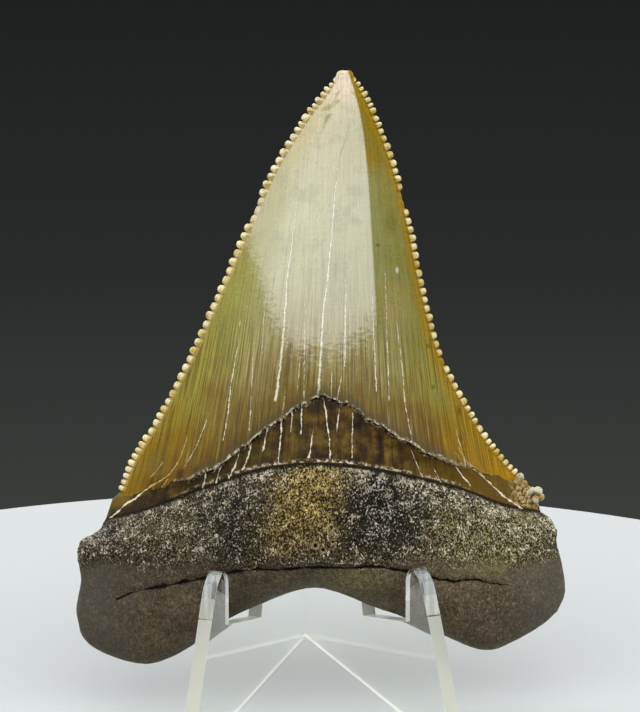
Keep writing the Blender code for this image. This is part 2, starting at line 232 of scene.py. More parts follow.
def root_depths(side, up):
    """The same for the root, whose lower edge and ends are rounded."""
    rounding = 1 - np.minimum(up / FOOT_ROUNDING, 1.0)
    foot = np.sqrt(1 - rounding * rounding)
    ends = np.clip(1 - np.abs(side) ** (3 - up), 0.0, 1.0) ** (0.5 + 0.4 * up)
    thick_middle = LOBE_SHARE + (1 - LOBE_SHARE) * np.exp(-(side / MIDDLE_SPREAD) ** 2)
    middle = ROOT_MIDDLE(up)
    return middle + ROOT_FRONT(up) * foot * ends * thick_middle, -middle + ROOT_BACK(up) * foot * ends


print("deepest in the middle of the crown's base:", round(float(crown_depths(0.0, 0.0)[0]), 2), "mm")

# %% [markdown]
# ## The serrations
#
# The cutting edges are saws of small rounded beads, about 55 on each side, smaller towards the
# tip and towards the base. Every bead gets six rows of points: one in the gap and five over the
# bead. Some beads are chipped away. The rest differ a little in size, drawn from a seeded
# generator, so the tooth is the same on every run.

# %% Rows of the serrated edge
SERRATIONS = 55
SERRATION_DEPTH = 0.54
SERRATION_FINEST = 0.62        # width of the end serrations against the middle ones
BEAD_ROWS = [(0.0, 0.0), (0.14, 0.66), (0.3, 0.93), (0.5, 1.0), (0.7, 0.93), (0.86, 0.66)]
WORN_LEFT = {34: 0.35, 35: 0.25, 36: 0.4}
WORN_RIGHT = {36: 0.15, 37: 0.1, 18: 0.4}
BEAD_SPREAD = 0.3             # how much one bead differs from the next

chance = np.random.default_rng(5)
bead_sizes = {side: 1 - BEAD_SPREAD * chance.random(SERRATIONS + 1) for side in ("left", "right")}
for worn, side in ((WORN_LEFT, "left"), (WORN_RIGHT, "right")):
    for number, size in worn.items():
        bead_sizes[side][number] = size

middle_ones = np.sin(np.pi * (np.arange(SERRATIONS) + 0.5) / SERRATIONS) ** 0.7
bead_widths = mix(SERRATION_FINEST, 1.0, middle_ones)
bead_starts = np.concatenate([[0.0], np.cumsum(bead_widths)]) / bead_widths.sum()
edge_shares, edge_reach, edge_number = [], [], []
for number in range(SERRATIONS):
    for along, reach in BEAD_ROWS:
        edge_shares.append(mix(bead_starts[number], bead_starts[number + 1], along))
        edge_reach.append(reach)
        edge_number.append(number)
edge_shares, edge_reach = np.array(edge_shares + [1.0]), np.array(edge_reach + [0.0])
edge_number = np.array(edge_number + [SERRATIONS])
CROWN_ROWS = len(edge_shares) - 1
print("rows over the serrations:", CROWN_ROWS)

# %% [markdown]
# ## A chart of the tooth's skin
#
# A tooth has no flat sides to start from, so its skin is laid out like a map: columns run round
# the tooth and rows run from the foot of the root to the tip. The map is one grid primitive. A
# short list says how many rows each zone gets. Two numbers are kept with every point, its column
# and its row, plus which face it lies on, because edit-mode tools carry such numbers along to
# the points that they add.

# %% The chart
HALF_COLUMNS = 52              # columns on each face, before the front is made finer
ROOT_ROWS, NECK_ROWS, LIP_ROWS, CAP_ROWS = 42, 22, 4, 6
NECK_START = ROOT_ROWS
LIP_START = NECK_START + NECK_ROWS
CROWN_START = LIP_START + LIP_ROWS
CAP_START = CROWN_START + CROWN_ROWS
ALL_ROWS = CAP_START + CAP_ROWS

bpy.ops.object.select_all(action="DESELECT")
bpy.ops.mesh.primitive_grid_add(x_subdivisions=2 * HALF_COLUMNS, y_subdivisions=ALL_ROWS,
                                size=1.0, calc_uvs=False)
tooth = bpy.context.object
tooth.name = "fossil_tooth"


def points_of(mesh):
    flat = np.empty(len(mesh.vertices) * 3, np.float32)
    mesh.vertices.foreach_get("co", flat)
    return flat.reshape(-1, 3).astype(float)


def numbers_of(mesh, name):
    values = np.empty(len(mesh.vertices), np.float32)
    mesh.attributes[name].data.foreach_get("value", values)
    return values.astype(float)


def keep_numbers(mesh, name, values):
    if name not in mesh.attributes:
        mesh.attributes.new(name=name, type="FLOAT", domain="POINT")
    mesh.attributes[name].data.foreach_set("value", np.asarray(values, np.float32))


chart = points_of(tooth.data)
way_round = np.round((chart[:, 0] + 0.5) * 2 * HALF_COLUMNS)
row = np.round((chart[:, 1] + 0.5) * ALL_ROWS)
column = np.where(way_round <= HALF_COLUMNS, way_round, 2 * HALF_COLUMNS - way_round)
facing = np.where(way_round < HALF_COLUMNS, 1.0, -1.0)
facing[(column == 0) | (column == HALF_COLUMNS) | (row == 0) | (row == ALL_ROWS)] = 0.0
for name, values in (("column", column), ("row", row), ("facing", facing)):
    keep_numbers(tooth.data, name, values)
print("chart:", len(tooth.data.vertices), "points,", ALL_ROWS, "rows")

# %% [markdown]
# ## Rolling the chart up
#
# Each zone has its own rule that turns (column, row) into a place on the tooth. The root blends
# its four border curves. The neck band runs from the root's rim to the ragged edge of the enamel.
# The crown's rows start along that edge and straighten towards the tip, and near the two cutting
# edges they follow the beads. The tip is a small dome.

# %% Zone rules: root
LUMP_HEIGHT, LUMP_SPACING = 0.22, 5.5
RIM_ROLL = 0.1                # the rim of the root is a slightly raised roll
FOOT_SHARE = 0.4               # share of the root's rows that go round its lower edge


def lumps(across, up):
    """Gentle swellings of the bone."""
    wave = 2 * np.pi / LUMP_SPACING
    return LUMP_HEIGHT * np.sin(wave * across + 0.8 * up) * np.sin(0.7 * wave * up + 0.3 * across)


def column_share(column):
    """Share of the way across for a column of the root, closer together at its ends."""
    even = column / HALF_COLUMNS
    return mix(even, 0.5 - 0.5 * np.cos(np.pi * even), 0.4)


def root_place(column, facing, step):
    share = column_share(column)
    up = np.where(step < FOOT_SHARE, FOOT_ROUNDING * (1 - np.cos(step / FOOT_SHARE * np.pi / 2)),
                  FOOT_ROUNDING + (1 - FOOT_ROUNDING) * (step - FOOT_SHARE) / (1 - FOOT_SHARE))
    s, u = share[:, None], up[:, None]
    rim = np.where(facing[:, None] < 0, BACK_MARGIN(share), FRONT_MARGIN(share))
    rim_left, rim_right = FRONT_MARGIN(0.0), FRONT_MARGIN(1.0)
    flat = (mix(ROOT_FOOT(share), rim, u) + mix(ROOT_LEFT(up), ROOT_RIGHT(up), s)
            - mix(mix(ROOT_FOOT(0.0), ROOT_FOOT(1.0), s), mix(rim_left, rim_right, s), u))
    inner = np.sin(np.pi * up) * np.sin(np.pi * share)
    front, back = root_depths(2 * share - 1, up)
    swelling = lumps(flat[:, 0], flat[:, 1]) * inner
    roll = RIM_ROLL * np.exp(-((1 - up) / 0.06) ** 2) * np.sin(np.pi * share) * (up < 1)
    depth = np.where(facing < 0, back + swelling, -front - swelling - roll)
    return np.column_stack([flat[:, 0], depth, flat[:, 1]])


# %% Zone rules: neck band and enamel lip
RAGGED = 0.16                  # how far the broken edge of the enamel wanders
ROW_OVER_ENAMEL = 0.9          # the first serrated row runs this far above the enamel's edge


def ragged_edge(across):
    """The enamel's edge is broken in small steps."""
    wander = np.sin(2.1 * across + 1.0) + 0.6 * np.sin(5.3 * across) + 0.5 * np.sin(11.7 * across + 2.0)
    return RAGGED * wander * fade(21 - np.abs(across), 0.0, 4.0)


def neck_edges(share, facing):
    rim = np.where(facing[:, None] < 0, BACK_MARGIN(share), FRONT_MARGIN(share))
    enamel = np.where(facing[:, None] < 0, BACK_ENAMEL(share), FRONT_ENAMEL(share))
    enamel[:, 1] += ragged_edge(enamel[:, 0])
    return rim, enamel


def neck_place(column, facing, step):
    share = column_share(column)
    side = 2 * share - 1
    step = 0.5 - 0.5 * np.cos(np.pi * step)
    rim, enamel = neck_edges(share, facing)
    flat = mix(rim, enamel, step[:, None])
    inner = fade(1 - np.abs(side), 0.08, 0.5)
    drop = -NECK_DROP * fade(step, 0.0, 0.05) + (NECK_DROP - ENAMEL_STEP) * fade(step, 0.6, 0.95)
    drop += ENAMEL_STEP * fade(step, 0.985, 1.0)
    root_front, root_back = root_depths(side, np.ones_like(side))
    crown_front, crown_back = crown_depths(side, np.zeros_like(side))
    front = mix(root_front, crown_front, step) + drop * inner
    back = mix(root_back, crown_back, step) + 0.4 * drop * inner
    return np.column_stack([flat[:, 0], np.where(facing < 0, back, -front), flat[:, 1]])


# %% Zone rules: crown
STRIP_COLUMNS = 4              # columns that carry the beads, along each cutting edge
STRIP_WIDTH = 0.95
WIDEST_STRIP = 0.22            # the strip's largest share of the crown's width
BEAD_HALF = 0.4                # half the thickness of a bead
GAP_HALF = 0.07                # and of the notch between two beads


def edge_frame(curve, up, outwards):
    """A cutting edge's place and its outward direction."""
    slope = curve(np.minimum(up + 0.01, 1.0)) - curve(np.maximum(up - 0.01, 0.0))
    slope /= np.linalg.norm(slope, axis=-1, keepdims=True)
    return curve(up), np.stack([slope[..., 1], -slope[..., 0]], axis=-1) * outwards


def crown_place(column, facing, step):
    """Places of crown points, how much each belongs to a bead, and how far to the side it is."""
    up = np.interp(step, np.arange(CROWN_ROWS + 1), edge_shares)
    reach = np.interp(step, np.arange(CROWN_ROWS + 1), edge_reach)
    number = edge_number[np.clip(np.floor(step).astype(int), 0, CROWN_ROWS)]
    left, left_out = edge_frame(LEFT_EDGE, up, -1)
    right, right_out = edge_frame(RIGHT_EDGE, up, 1)
    strip = np.minimum(STRIP_WIDTH, WIDEST_STRIP * np.linalg.norm(right - left, axis=1))[:, None]
    left_line, right_line = left - left_out * strip, right - right_out * strip
    middle = np.clip((column - STRIP_COLUMNS) / (HALF_COLUMNS - 2 * STRIP_COLUMNS), 0, 1)
    side = 2 * middle - 1
    flat = mix(left_line, right_line, middle[:, None])
    level = mix(LEFT_EDGE(0.0), RIGHT_EDGE(0.0), middle[:, None])
    border = np.where(facing < 0, over_back_enamel(level[:, 0]), over_front_enamel(level[:, 0]))
    lift = border + ROW_OVER_ENAMEL - level[:, 1]
    flat[:, 1] += lift * (1 - up) * (1 - np.abs(side) ** 4)
    front, back = crown_depths(side, up)
    half = np.where(facing < 0, back, front)

    on_left = column < HALF_COLUMNS / 2
    inwards = np.clip(np.minimum(column, HALF_COLUMNS - column) / STRIP_COLUMNS, 0, 1)
    sizes = np.where(on_left, bead_sizes["left"][number], bead_sizes["right"][number])
    reach = reach * sizes
    edge, out, line = (np.where(on_left[:, None], a, b) for a, b in
                       ((left, right), (left_out, right_out), (left_line, right_line)))
    tip_fade = fade(1 - up, 0.0, 0.015)
    outer = edge - out * (SERRATION_DEPTH * (1 - reach) * tip_fade)[:, None]
    in_strip = inwards < 1
    flat[in_strip] = mix(outer, line, inwards[:, None])[in_strip]
    bead = BEAD_HALF * np.sqrt(np.clip(1 - ((inwards - 0.5) / 0.54) ** 2, 0, 1)) * tip_fade
    gap = mix(GAP_HALF, BLADE_HALF, inwards ** 1.5)
    thin = mix(gap, np.maximum(bead, gap), reach)
    half[in_strip] = thin[in_strip]
    half[inwards == 0] = 0.0
    beaded = reach * (1 - fade(inwards, 0.5, 1.0)) * mix(0.6, 1.0, tip_fade)
    return np.column_stack([flat[:, 0], np.where(facing < 0, half, -half), flat[:, 1]]), beaded, side


def lip_place(column, facing, step):
    """From the enamel's edge to the first serrated row."""
    share = column_share(column)
    side = 2 * share - 1
    _, enamel = neck_edges(share, facing)
    front, back = crown_depths(side, np.zeros_like(side))
    lower = np.column_stack([enamel[:, 0], np.where(facing < 0, back, -front), enamel[:, 1]])
    upper = crown_place(column, facing, np.zeros_like(step))[0]
    return mix(lower, upper, step[:, None])


def cap_place(column, facing, step):
    """The rounded tip."""
    rim = crown_place(column, facing, np.full_like(step, CROWN_ROWS))[0]
    turn = step * np.pi / 2
    centre = np.array([TIP[0], 0.0, rim[:, 2].mean()])
    dome = centre + (rim - centre) * np.cos(turn)[:, None]
    dome[:, 2] += (TIP[1] - centre[2]) * np.sin(turn)
    return dome


# %% Put every point in place
MERGE_DISTANCE = 0.0005        # in the tooth's own axes, where one unit is a millimetre


def place_skin(column, facing, row):
    """Where every point goes, how much it belongs to a bead, and how far to the side it is."""
    place, beaded, side = np.zeros((len(row), 3)), np.zeros(len(row)), 2 * column_share(column) - 1
    zones = ((row <= NECK_START, root_place, 0, ROOT_ROWS),
             ((row > NECK_START) & (row <= LIP_START), neck_place, NECK_START, NECK_ROWS),
             ((row > LIP_START) & (row <= CROWN_START), lip_place, LIP_START, LIP_ROWS),
             (row > CAP_START, cap_place, CAP_START, CAP_ROWS))
    for chosen, rule, start, count in zones:
        if chosen.any():
            place[chosen] = rule(column[chosen], facing[chosen], (row[chosen] - start) / count)
    crown = (row > CROWN_START) & (row <= CAP_START)
    place[crown], beaded[crown], side[crown] = crown_place(
        column[crown], facing[crown], row[crown] - CROWN_START)
    return place, beaded, side


def move_points(mesh, places):
    mesh.vertices.foreach_set("co", np.asarray(places, np.float32).ravel())
    mesh.update()


def edit_mode(select_type):
    bpy.ops.object.mode_set(mode="EDIT")
    bpy.ops.mesh.select_mode(type=select_type)


def object_mode():
    bpy.ops.object.mode_set(mode="OBJECT")


move_points(tooth.data, place_skin(column, facing, row)[0])
edit_mode("VERT")
bpy.ops.mesh.select_all(action="SELECT")
bpy.ops.mesh.remove_doubles(threshold=MERGE_DISTANCE)
object_mode()
print("rolled up and closed:", len(tooth.data.vertices), "points")

# %% [markdown]
# ## Finer where it shows
#
# The front face is what people look at, so its columns are split in two. The root and the neck
# band have a rough surface, so their faces are split once more both ways. Subdivide hands the
# column and row numbers on to the new points, and the same rules then put those in place.

# %% Split the front's columns, then the root's faces
import bmesh


def split_edges(mesh, wanted):
    """Halve the edges that wanted(row a, row b, facing a, facing b) picks."""
    edge_ends = np.empty(len(mesh.edges) * 2, np.int32)
    mesh.edges.foreach_get("vertices", edge_ends)
    a, b = edge_ends.reshape(-1, 2).T
    rows, faces = numbers_of(mesh, "row"), numbers_of(mesh, "facing")
    chosen = np.flatnonzero(wanted(rows[a], rows[b], faces[a], faces[b]))
    edit_mode("EDGE")
    bpy.ops.mesh.select_all(action="DESELECT")
    edited = bmesh.from_edit_mesh(mesh)
    edited.edges.ensure_lookup_table()
    for k in chosen:
        edited.edges[k].select_set(True)
    bmesh.update_edit_mesh(mesh)
    bpy.ops.mesh.subdivide(number_cuts=1)
    object_mode()


def across_the_front(row_a, row_b, facing_a, facing_b):
    level = np.abs(row_a - row_b) < 0.01
    return level & ((facing_a + facing_b > 0) | (row_a < 0.5)) & (row_a < ALL_ROWS)


def below_the_lip(row_a, row_b, facing_a, facing_b):
    return np.maximum(row_a, row_b) <= LIP_START


split_edges(tooth.data, across_the_front)
split_edges(tooth.data, below_the_lip)
column, row, facing = (numbers_of(tooth.data, name) for name in ("column", "row", "facing"))
place, beaded, side = place_skin(column, facing, row)
print("points after splitting:", len(tooth.data.vertices))

# %% [markdown]
# ## Marks that are real dents
#
# A long crack runs across the root, and a few small nutrient holes lie in its middle. Both are
# pressed into the points, so they stay when the material is gone. The crack follows the places
# where the photograph shows it.

# %% Root crack and nutrient holes
ROOT_CRACK_PIXELS = [(116, 601), (135, 593), (160, 588), (178, 584), (200, 580), (222, 575),
                     (240, 571), (258, 569), (280, 570), (300, 568), (320, 567), (345, 568),
                     (372, 566), (392, 569), (415, 573), (440, 580), (458, 582), (476, 580),
                     (490, 584), (512, 587)]
ROOT_FRONT_DEPTH = 8.0
CRACK_HALF_WIDTH, CRACK_DEPTH = 0.24, 0.36
NUTRIENT_HOLE_PIXELS = [(315, 545, 0.26), (322.5, 549, 0.22), (332, 541, 0.16)]
HOLE_DEPTH = 0.4
HOLE_RIM = (0.12, 1.7, 0.5)    # height of its raised rim, its radius and its width, in hole radii

crack_places = np.array([on_tooth(pixel, ROOT_FRONT_DEPTH) for pixel in ROOT_CRACK_PIXELS])
crack_height = as_graph(crack_places)
crack_ends = crack_places[0, 0], crack_places[-1, 0]
holes = [(*on_tooth(pixel[:2], ROOT_FRONT_DEPTH), pixel[2]) for pixel in NUTRIENT_HOLE_PIXELS]


def root_dents(place):
    """How deep each point of the root's front is pressed in."""
    x, z = place[:, 0], place[:, 2]
    along = fade(x, crack_ends[0], crack_ends[0] + 2) * fade(-x, -crack_ends[1], 2 - crack_ends[1])
    wide = CRACK_HALF_WIDTH * (0.8 + 0.7 * np.exp(-((x + 12) / 6) ** 2) + 0.25 * np.sin(2.3 * x))
    crack = np.exp(-((z - crack_height(x)) / wide) ** 2) * along
    dent = CRACK_DEPTH * crack
    rim_height, rim_radius, rim_width = HOLE_RIM
    for hole_x, hole_z, radius in holes:
        near = np.hypot(x - hole_x, z - hole_z) / radius
        rim = rim_height * np.exp(-((near - rim_radius) / rim_width) ** 2)
        dent += HOLE_DEPTH * np.exp(-near ** 4) - rim
    return dent


front_root = (row <= ROOT_ROWS) & (facing > 0)
dent = np.zeros(len(row))
dent[front_root] = root_dents(place[front_root])
place[:, 1] += dent

# %% [markdown]
# ## Numbers for the materials
#
# The materials ask where on the tooth they are. Each point keeps its place in the tooth's own
# axes, how far it is from the middle to a cutting edge, its height over the enamel's edge and over
# the root's rim, and how much it belongs to a bead.

# %% Attributes, faces and the final place
border = np.where(facing < 0, over_back_enamel(place[:, 0]), over_front_enamel(place[:, 0]))
rim_height = as_graph(FRONT_MARGIN(np.linspace(0, 1, 60)))(place[:, 0])
for name, values in (("across", place[:, 0]), ("depth", place[:, 1]), ("up", place[:, 2]),
                     ("side", side), ("bead", beaded), ("over_rim", place[:, 2] - rim_height),
                     ("over_enamel", place[:, 2] - border - ragged_edge(place[:, 0]))):
    keep_numbers(tooth.data, name, values)

loop_vertices = np.empty(len(tooth.data.loops), np.int32)
tooth.data.loops.foreach_get("vertex_index", loop_vertices)
loop_starts = np.empty(len(tooth.data.polygons), np.int32)
tooth.data.polygons.foreach_get("loop_start", loop_starts)
lowest_row = np.minimum.reduceat(row[loop_vertices], loop_starts)
zone_of_face = np.select([lowest_row < NECK_START - 0.1, lowest_row < LIP_START - 0.1], [0, 1], 2)
tooth.data.polygons.foreach_set("material_index", zone_of_face.astype(np.int32))

homogeneous = np.column_stack([place, np.ones(len(place))])
move_points(tooth.data, (homogeneous @ np.array(tooth_to_part).T)[:, :3])
edit_mode("FACE")
bpy.ops.mesh.select_all(action="SELECT")
bpy.ops.mesh.normals_make_consistent(inside=False)
object_mode()
bpy.ops.object.shade_smooth()
print("tooth:", len(tooth.data.polygons), "faces")

# %% [markdown]
# ## Broken crystals
#
# At the right end the enamel has broken away and left a few pale lumps of crystal. Each is one
# small sphere of flat faces, squashed and turned, and joined to the tooth. Their faces get the
# last of the tooth's four materials, which are filled in further down.

# %% Lumps of crystal at the right corner
CRYSTALS = [((519, 480), 0.5, 0.8, 20), ((524, 486), 0.5, 0.8, -25), ((532, 491), 0.5, 0.45, 30),
            ((538, 491), 0.55, 0.5, -20), ((541, 497), 0.4, 0.45, 40), ((528, 493), 0.5, 0.4, 10),
            ((536, 499), 0.5, 0.4, 60)]
LUMP_FRONT, LUMP_STEP = 0.9, 0.15       # how far in front of the blade they sit, and one from the next
TOOTH_MATERIALS = ("fossil root", "neck band", "fossil enamel", "broken crystal")
lumps_made = []
for number, (pixel, wide, tall, turned) in enumerate(CRYSTALS):
    lump_x, lump_z = on_tooth(pixel, 1.0)
    bpy.ops.object.select_all(action="DESELECT")
    bpy.ops.mesh.primitive_ico_sphere_add(subdivisions=2, radius=MM)
    lump = bpy.context.object
    lump.scale = (wide, 0.4, tall)
    lump.rotation_euler = (0.4 * number, math.radians(turned), 0.7 * number)
    bpy.ops.object.transform_apply(location=False, rotation=True, scale=True)
    lump.location = tooth_to_part @ Vector((lump_x, LUMP_STEP * (number % 3) - LUMP_FRONT, lump_z))
    bpy.ops.object.transform_apply(location=True, rotation=False, scale=False)
    for face in lump.data.polygons:
        face.material_index = TOOTH_MATERIALS.index("broken crystal")
    lumps_made.append(lump)
for piece in (*lumps_made, tooth):
    piece.select_set(True)
    for name in TOOTH_MATERIALS:
        piece.data.materials.append(bpy.data.materials.get(name) or bpy.data.materials.new(name))
bpy.context.view_layer.objects.active = tooth
before_joining = len(tooth.data.vertices)
bpy.ops.object.join()
print("joined", len(lumps_made), "lumps:", len(tooth.data.vertices) - before_joining, "points more")

# %% [markdown]
# ## Bony grain on the root
#
# Bone is lumpy at every scale. The gentle swellings are already in the rules above. Two Displace
# modifiers with cloud textures add a coarser and a finer grain, only on the root, through a
# vertex group that fades out at its lower edge, where water has rubbed it smooth.

# %% Displace the root
GRAIN_BELOW = 0.35             # strength of the grain on the lower part, against the upper part
SMOOTH_UP_TO, ROUGH_FROM = 8.5, 12.5      # millimetres up, between which it grows

grain_weight = np.zeros(len(row))
on_root = row < NECK_START
grain_weight[on_root] = mix(GRAIN_BELOW, 1.0, fade(place[on_root, 2], SMOOTH_UP_TO, ROUGH_FROM))
grain_weight[on_root] *= fade(NECK_START - row[on_root], 0.0, 1.0)
root_group = tooth.vertex_groups.new(name="root")
for level in np.linspace(0.1, 1.0, 10):
    members = np.flatnonzero(np.abs(grain_weight - level) <= 0.05)
    root_group.add(members.tolist(), float(level), "REPLACE")


def modify(piece, kind, **settings):
    """Give the active piece a modifier, set it up and apply it."""
    bpy.ops.object.modifier_add(type=kind)
    modifier = piece.modifiers[-1]
    for name, value in settings.items():
        setattr(modifier, name, value)
    bpy.ops.object.modifier_apply(modifier=modifier.name)


for label, grain_size, grain_height in (("coarse bone", 1.6, 0.35), ("fine bone", 0.45, 0.22)):
    clouds = bpy.data.textures.new(label, "CLOUDS")
    clouds.noise_scale, clouds.noise_depth = grain_size * MM, 2
    modify(tooth, "DISPLACE", texture=clouds, texture_coords="LOCAL", strength=grain_height * MM,
           mid_level=0.5, vertex_group="root")

# %% [markdown]
# ## Short calls for shader nodes
#
# A material is a small machine of nodes joined by wires. Here a wire is an object that knows its
# node tree, so a sum can be written as a sum: adding or multiplying two wires makes the Math node
# that does it. Each material below then reads from top to bottom like a recipe. Colours are
# written as a picture editor shows them, 0 to 255, and turned into linear light.

# %% Wires and nodes
class Wire:
    """A number, a place or a colour on its way out of a node."""

    def __init__(self, socket, tree):
        self.socket, self.tree = socket, tree

    def __add__(self, other):
        return maths("ADD", self, other)

    def __sub__(self, other):
        return maths("SUBTRACT", self, other)

    def __rsub__(self, other):
        return maths("SUBTRACT", other, self)

    def __mul__(self, other):
        return maths("MULTIPLY", self, other)

    def __truediv__(self, other):
        return maths("DIVIDE", self, other)

    def __rtruediv__(self, other):
        return maths("DIVIDE", other, self)

    def __abs__(self):
        return maths("ABSOLUTE", self)

    def fade(self, low, high, to_low=0.0, to_high=1.0):
        """Run smoothly from to_low at low to to_high at high."""
        return node(self.tree, "MapRange", self, low, high, to_low, to_high,
                    settings={"interpolation_type": "SMOOTHSTEP"})

    def moved(self, *way):
        """The same place, further on, so that a noise there looks different."""
        return vector("ADD", self, way)


def feed(socket, value):
    """Join a wire to a socket, or set the socket to a plain value."""
    if isinstance(value, Wire):
        value.tree.links.new(value.socket, socket)
    elif value is not None:
        socket.default_value = value


def node(tree, kind, *values, output=0, settings=None, **named):
    """Add a node, feed its inputs in order or by name, and give the wire that leaves it."""
    made = tree.nodes.new("ShaderNode" + kind)
    for name, value in (settings or {}).items():
        setattr(made, name, value)
    for socket, value in zip(made.inputs, values):
        feed(socket, value)
    for name, value in named.items():
        feed(made.inputs[name.replace("_", " ")], value)
    return Wire(made.outputs[output], tree)


def tree_of(*values):
    return next(value.tree for value in values if isinstance(value, Wire))


def maths(operation, first, second=None):
    return node(tree_of(first, second), "Math", first, second, settings={"operation": operation})


def vector(operation, first, second=None, output=0):
    return node(first.tree, "VectorMath", first, second, output=output, settings={"operation": operation})


def most(first, *others):
    """The highest of several masks, place by place."""
    for other in others:
        first = maths("MAXIMUM", first, other)
    return first


def join(x, y, z=0.0):
    return node(x.tree, "CombineXYZ", x, y, z)


def noise(place, size, detail=2.0, roughness=0.5):
    """Noise whose features are about that many millimetres wide."""
    return node(place.tree, "TexNoise", Vector=place, Scale=1.0 / size, Detail=detail,
                Roughness=roughness)


# %% Colours
def paint(red, green, blue):
    """A colour as a picture editor shows it, in linear light."""
    return (*(((c / 255 + 0.055) / 1.055) ** 2.4 if c > 10 else c / 255 / 12.92
              for c in (red, green, blue)), 1.0)


def blend(share, first, second, kind="MIX"):
    """Blend two colours, each a wire or (red, green, blue)."""
    first, second = (paint(*c) if isinstance(c, tuple) else c for c in (first, second))
    return node(tree_of(share, first, second), "Mix", share, None, None, None, None, None, first, second,
                output=2, settings={"data_type": "RGBA", "blend_type": kind})


def ramp(value, stops):
    """A colour ramp over stops of (place, red, green, blue)."""
    made = node(value.tree, "ValToRGB", value)
    elements = made.socket.node.color_ramp.elements
    while len(elements) < len(stops):
        elements.new(0.5)
    for element, (place, *colour) in zip(elements, stops):
        element.position, element.color = place, paint(*colour)
    return made


def open_tree(name):
    """The node tree of a material, made if it isn't there yet."""
    material = bpy.data.materials.get(name) or bpy.data.materials.new(name)
    material.use_nodes = True
    return material.node_tree


def tooth_numbers(name, *labels):
    """A wire in that material for each number that the tooth's points carry."""
    return [node(open_tree(name), "Attribute", output=2, settings={"attribute_name": label})
            for label in labels]


def dress(name, **values):
    """Feed the shader of a material, and say how large the recipe has become."""
    tree = open_tree(name)
    for label, value in values.items():
        feed(tree.nodes["Principled BSDF"].inputs[label.replace("_", " ")], value)
    print(name, "is made of", len(tree.nodes), "nodes")


def bumps(height, strength, distance):
    return node(height.tree, "Bump", Strength=strength, Distance=distance * MM, Height=height)


# %% [markdown]
# ## Effects that several materials share
#
# Cracks, streaks, speckles and patches each turn up in two or three of the materials: enamel, neck
# band and root. They could be drawn anew in every one, but as a node group each is drawn once and
# used many times. The groups give masks and values alone, and the materials choose the colours.

# %% Group helpers
def new_group(name, inputs, outputs):
    """A node group; inputs are {name: default}, None for a place. Gives it, its wires and its end."""
    tree = bpy.data.node_groups.new(name, "ShaderNodeTree")
    for label, default in inputs.items():
        kind = "NodeSocketVector" if default is None else "NodeSocketFloat"
        socket = tree.interface.new_socket(label, in_out="INPUT", socket_type=kind)
        if default is not None:
            socket.default_value = default
    for label in outputs:
        tree.interface.new_socket(label, in_out="OUTPUT", socket_type="NodeSocketFloat")
    start = tree.nodes.new("NodeGroupInput")
    end = tree.nodes.new("NodeGroupOutput")
    return tree, [Wire(start.outputs[label], tree) for label in inputs], end


def use_group(group, place, **inputs):
    """Use a node group at a place; gives the wires of all its outputs."""
    first = node(place.tree, "Group", settings={"node_tree": group}, Place=place, **inputs)
    return [Wire(socket, place.tree) for socket in first.socket.node.outputs]


# %% [markdown]
# ## Cracks as a node group
#
# Fossil enamel dries and splits in long lines that fill with pale mineral. One crack is a line
# from a foot to a head, bent a little, wandering a little, and wider at one end. The group below
# draws one such line as a mask. Every crack of the photograph is then one use of the group.

# %% The crack group
crack_group, crack_wires, end = new_group(
    "crack", {"Place": None, "Along": None, "Along Start": 0.0, "Aside": None, "Aside Start": 0.0,
              "Foot Width": 0.1, "Head Width": 0.05, "Bow": 0.0, "Wander": 0.0, "Broken": 0.0}, ["Mask"])
place, way, way_start, side_way, side_start, foot_width, head_width, bow, wander, broken = crack_wires
along = vector("DOT_PRODUCT", place, way, output=1) - way_start
aside = vector("DOT_PRODUCT", place, side_way, output=1) - side_start
bend = (1.0 - along) * along * 4.0 * bow
distance = abs(aside - bend - wander)
width = node(crack_group, "Mix", along, None, foot_width, head_width, settings={"data_type": "FLOAT"})
width = width * broken.fade(0.35, 0.65, 1.35, 0.25)
line = (distance / width).fade(0.6, 1.15, 1.0, 0.0)
feed(end.inputs["Mask"], line * along.fade(-0.02, 0.01) * along.fade(1.02, 0.99))


def draw_cracks(place, cracks, wander, broken, depth):
    """All cracks of a list, (foot pixel, head pixel, foot width, head width, bow), as one mask."""
    masks = []
    for foot_pixel, head_pixel, foot_width, head_width, bow in cracks:
        foot, head = Vector(on_tooth(foot_pixel, depth)), Vector(on_tooth(head_pixel, depth))
        run = head - foot
        along = run / run.length_squared
        aside = Vector((run.y, -run.x)) / run.length
        masks += use_group(crack_group, place, Along=(*along, 0.0), Along_Start=foot.dot(along),
                           Aside=(*aside, 0.0), Aside_Start=foot.dot(aside), Foot_Width=foot_width,
                           Head_Width=head_width, Bow=bow, Wander=wander, Broken=broken)
    return most(*masks)


# %% [markdown]
# ## Streaks that fan out from the tip
#
# Growth lines and stains in the crown run from the base towards a point high over the tip, like
# the ribs of a fan. The group squeezes noise into thin lines along those ribs.

# %% The streak group
FAN_APEX = (4.2, 103.0)        # where the ribs would meet, across and up
FAN_LEVEL = 25.0               # at this height a streak has its stated width
STREAK_LENGTH = 9.0            # millimetres over which one streak changes

streak_group, (place, width, seed), end = new_group(
    "streaks", {"Place": None, "Width": 0.3, "Seed": 0.0}, ["Value"])
parts = node(streak_group, "SeparateXYZ", place).socket.node.outputs
across, up = Wire(parts[0], streak_group), Wire(parts[1], streak_group)
to_apex = FAN_APEX[1] - up
rib = (across - FAN_APEX[0]) * (FAN_APEX[1] - FAN_LEVEL) / to_apex
feed(end.inputs["Value"], noise(join(rib / width, up / STREAK_LENGTH, seed), 1.0, 3.0, 0.6))


def streaks(place, width, seed):
    return use_group(streak_group, place, Width=width, Seed=seed)[0]


# %% [markdown]
# ## Speckles
#
# The root is salt and pepper: grains of pale mineral in dark bone. The group cuts noise off at a
# level, which leaves small irregular grains of a chosen size and share of the surface. It also
# serves for the tiny dark specks of the enamel.

